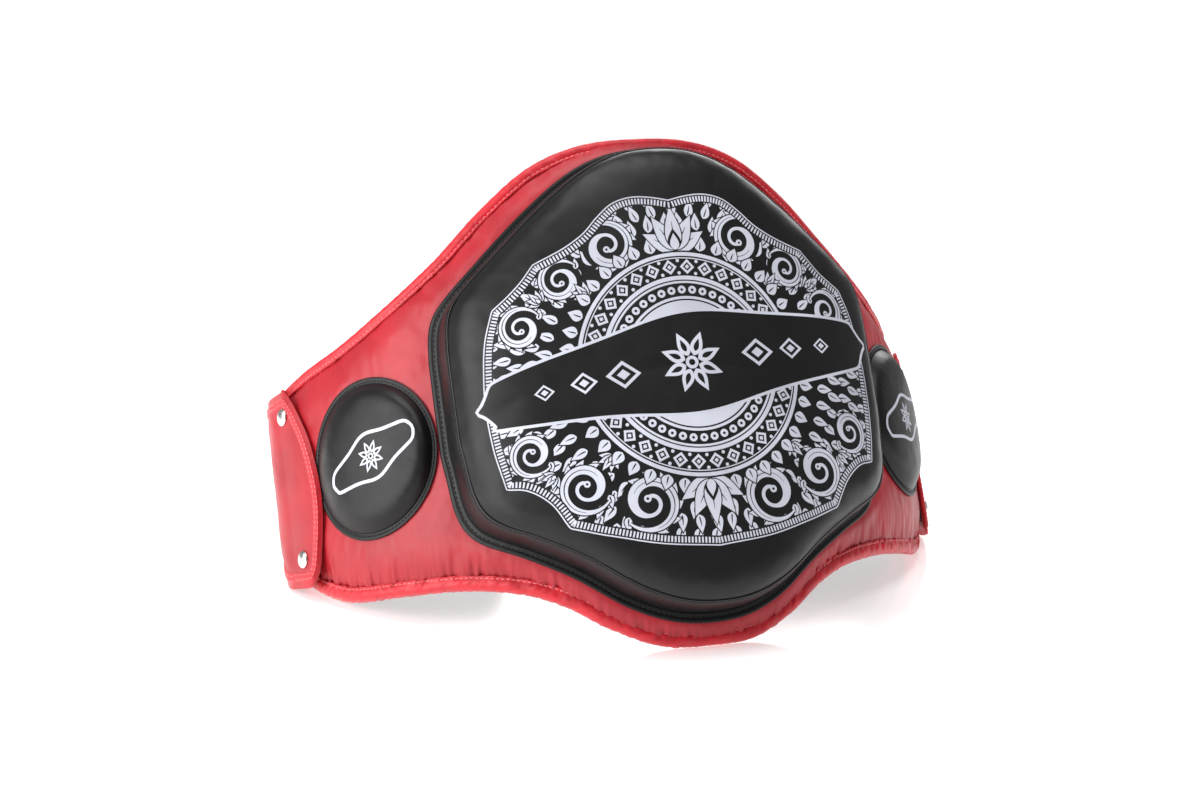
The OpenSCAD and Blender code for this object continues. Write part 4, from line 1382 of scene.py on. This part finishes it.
FLOOR_R = 1.5
FLOOR_Z = -0.0003
SEEN_WHITE, LIT_WHITE = 1.05, 0.30


def make_stage():
    """A white floor that glows softly away from the object, as a lit sweep does."""
    material, nodes, links, surface = shader("floor", 0.16, Specular_IOR_Level=0.35)
    haze = texture(nodes, links, "ShaderNodeTexNoise", 3, 2)
    links.new(ramp(nodes, links, haze.outputs["Fac"], [(0.3, 0.93), (0.7, 0.95)]), surface.inputs["Base Color"])
    place = nodes.new("ShaderNodeTexCoord")
    far = nodes.new("ShaderNodeVectorMath")
    far.operation = "LENGTH"
    links.new(place.outputs["Object"], far.inputs[0])
    links.new(ramp(nodes, links, far.outputs["Value"], [(0.0, 0.18), (0.7, 0.95)]),
              surface.inputs["Emission Color"])
    surface.inputs["Emission Strength"].default_value = 1.0
    rim = circle(0, 0, FLOOR_R, 96)
    points = np.column_stack([rim, np.full(len(rim), FLOOR_Z)])
    floor = new_piece("floor", points, [list(range(len(rim)))], material)


def area_light(name, place, target, size, power, colour=(1, 1, 1)):
    light = bpy.data.lights.new(name, "AREA")
    light.shape = "RECTANGLE"
    light.size, light.size_y = size
    light.energy = power
    light.color = colour
    lamp = bpy.data.objects.new(name, light)
    lamp.location = place
    lamp.rotation_euler = (Vector(target) - Vector(place)).to_track_quat("-Z", "Y").to_euler()
    bpy.context.scene.collection.objects.link(lamp)


def make_lights():
    """A white room, bright behind the object and dim behind the camera, with three soft boxes."""
    world = bpy.data.worlds.new("white_room")
    bpy.context.scene.world = world
    world.use_nodes = True
    nodes, links = world.node_tree.nodes, world.node_tree.links
    seen = nodes["Background"]
    seen.inputs["Color"].default_value = (1, 1, 1, 1)
    seen.inputs["Strength"].default_value = SEEN_WHITE
    lit = nodes.new("ShaderNodeBackground")
    lit.inputs["Color"].default_value = (1, 1, 1, 1)
    lit.inputs["Strength"].default_value = LIT_WHITE
    path = nodes.new("ShaderNodeLightPath")
    mix = nodes.new("ShaderNodeMixShader")
    links.new(path.outputs["Is Camera Ray"], mix.inputs["Fac"])
    links.new(lit.outputs["Background"], mix.inputs[1])
    links.new(seen.outputs["Background"], mix.inputs[2])
    links.new(mix.outputs["Shader"], nodes["World Output"].inputs["Surface"])
    middle = (0, 0, 0.17)
    area_light("left_box", (-1.9, -0.35, 0.7), middle, (1.6, 1.6), 36)
    area_light("top_box", (-0.2, -0.2, 1.9), middle, (1.8, 1.2), 24)
    area_light("back_box", (0.9, 1.5, 1.0), middle, (1.6, 1.0), 18)


CAMERA_PLACE = (-0.6088, -1.9204, 0.6044)
CAMERA_YAW, CAMERA_PITCH = 16.92, -12.964
CAMERA_LENS = 79.76


def make_camera():
    data = bpy.data.cameras.new("camera")
    data.lens = CAMERA_LENS
    data.sensor_width = 36
    camera = bpy.data.objects.new("camera", data)
    bpy.context.scene.collection.objects.link(camera)
    yaw, pitch = math.radians(CAMERA_YAW), math.radians(CAMERA_PITCH)
    look = Vector((math.sin(yaw) * math.cos(pitch), math.cos(yaw) * math.cos(pitch), math.sin(pitch)))
    camera.location = CAMERA_PLACE
    camera.rotation_euler = look.to_track_quat("-Z", "Y").to_euler()
    bpy.context.scene.camera = camera


make_camera()
make_stage()
make_lights()
bpy.context.scene.view_settings.view_transform = "Standard"

make_front()
make_back()
edge_tape("top_binding", body_top, -1, 101.0, 0.7, 0.4)
edge_tape("bottom_binding", body_bottom, 1, 111.0, 1.5, 1.4)
make_centre_rim()
top_skin = make_centre_top()
make_centre_stitches()
make_print(top_skin)
for side_name, side in SIDES.items():
    end_tape(side_name, side)
    make_disc(side_name, side)
    make_wing(side_name, side)
    make_rivets(side_name, side)
make_patch("left", -1, 1, "left_loop_patch", LOOPS)
make_patch("right", 1, -1, "right_hook_patch", HOOKS)
finish_carried()
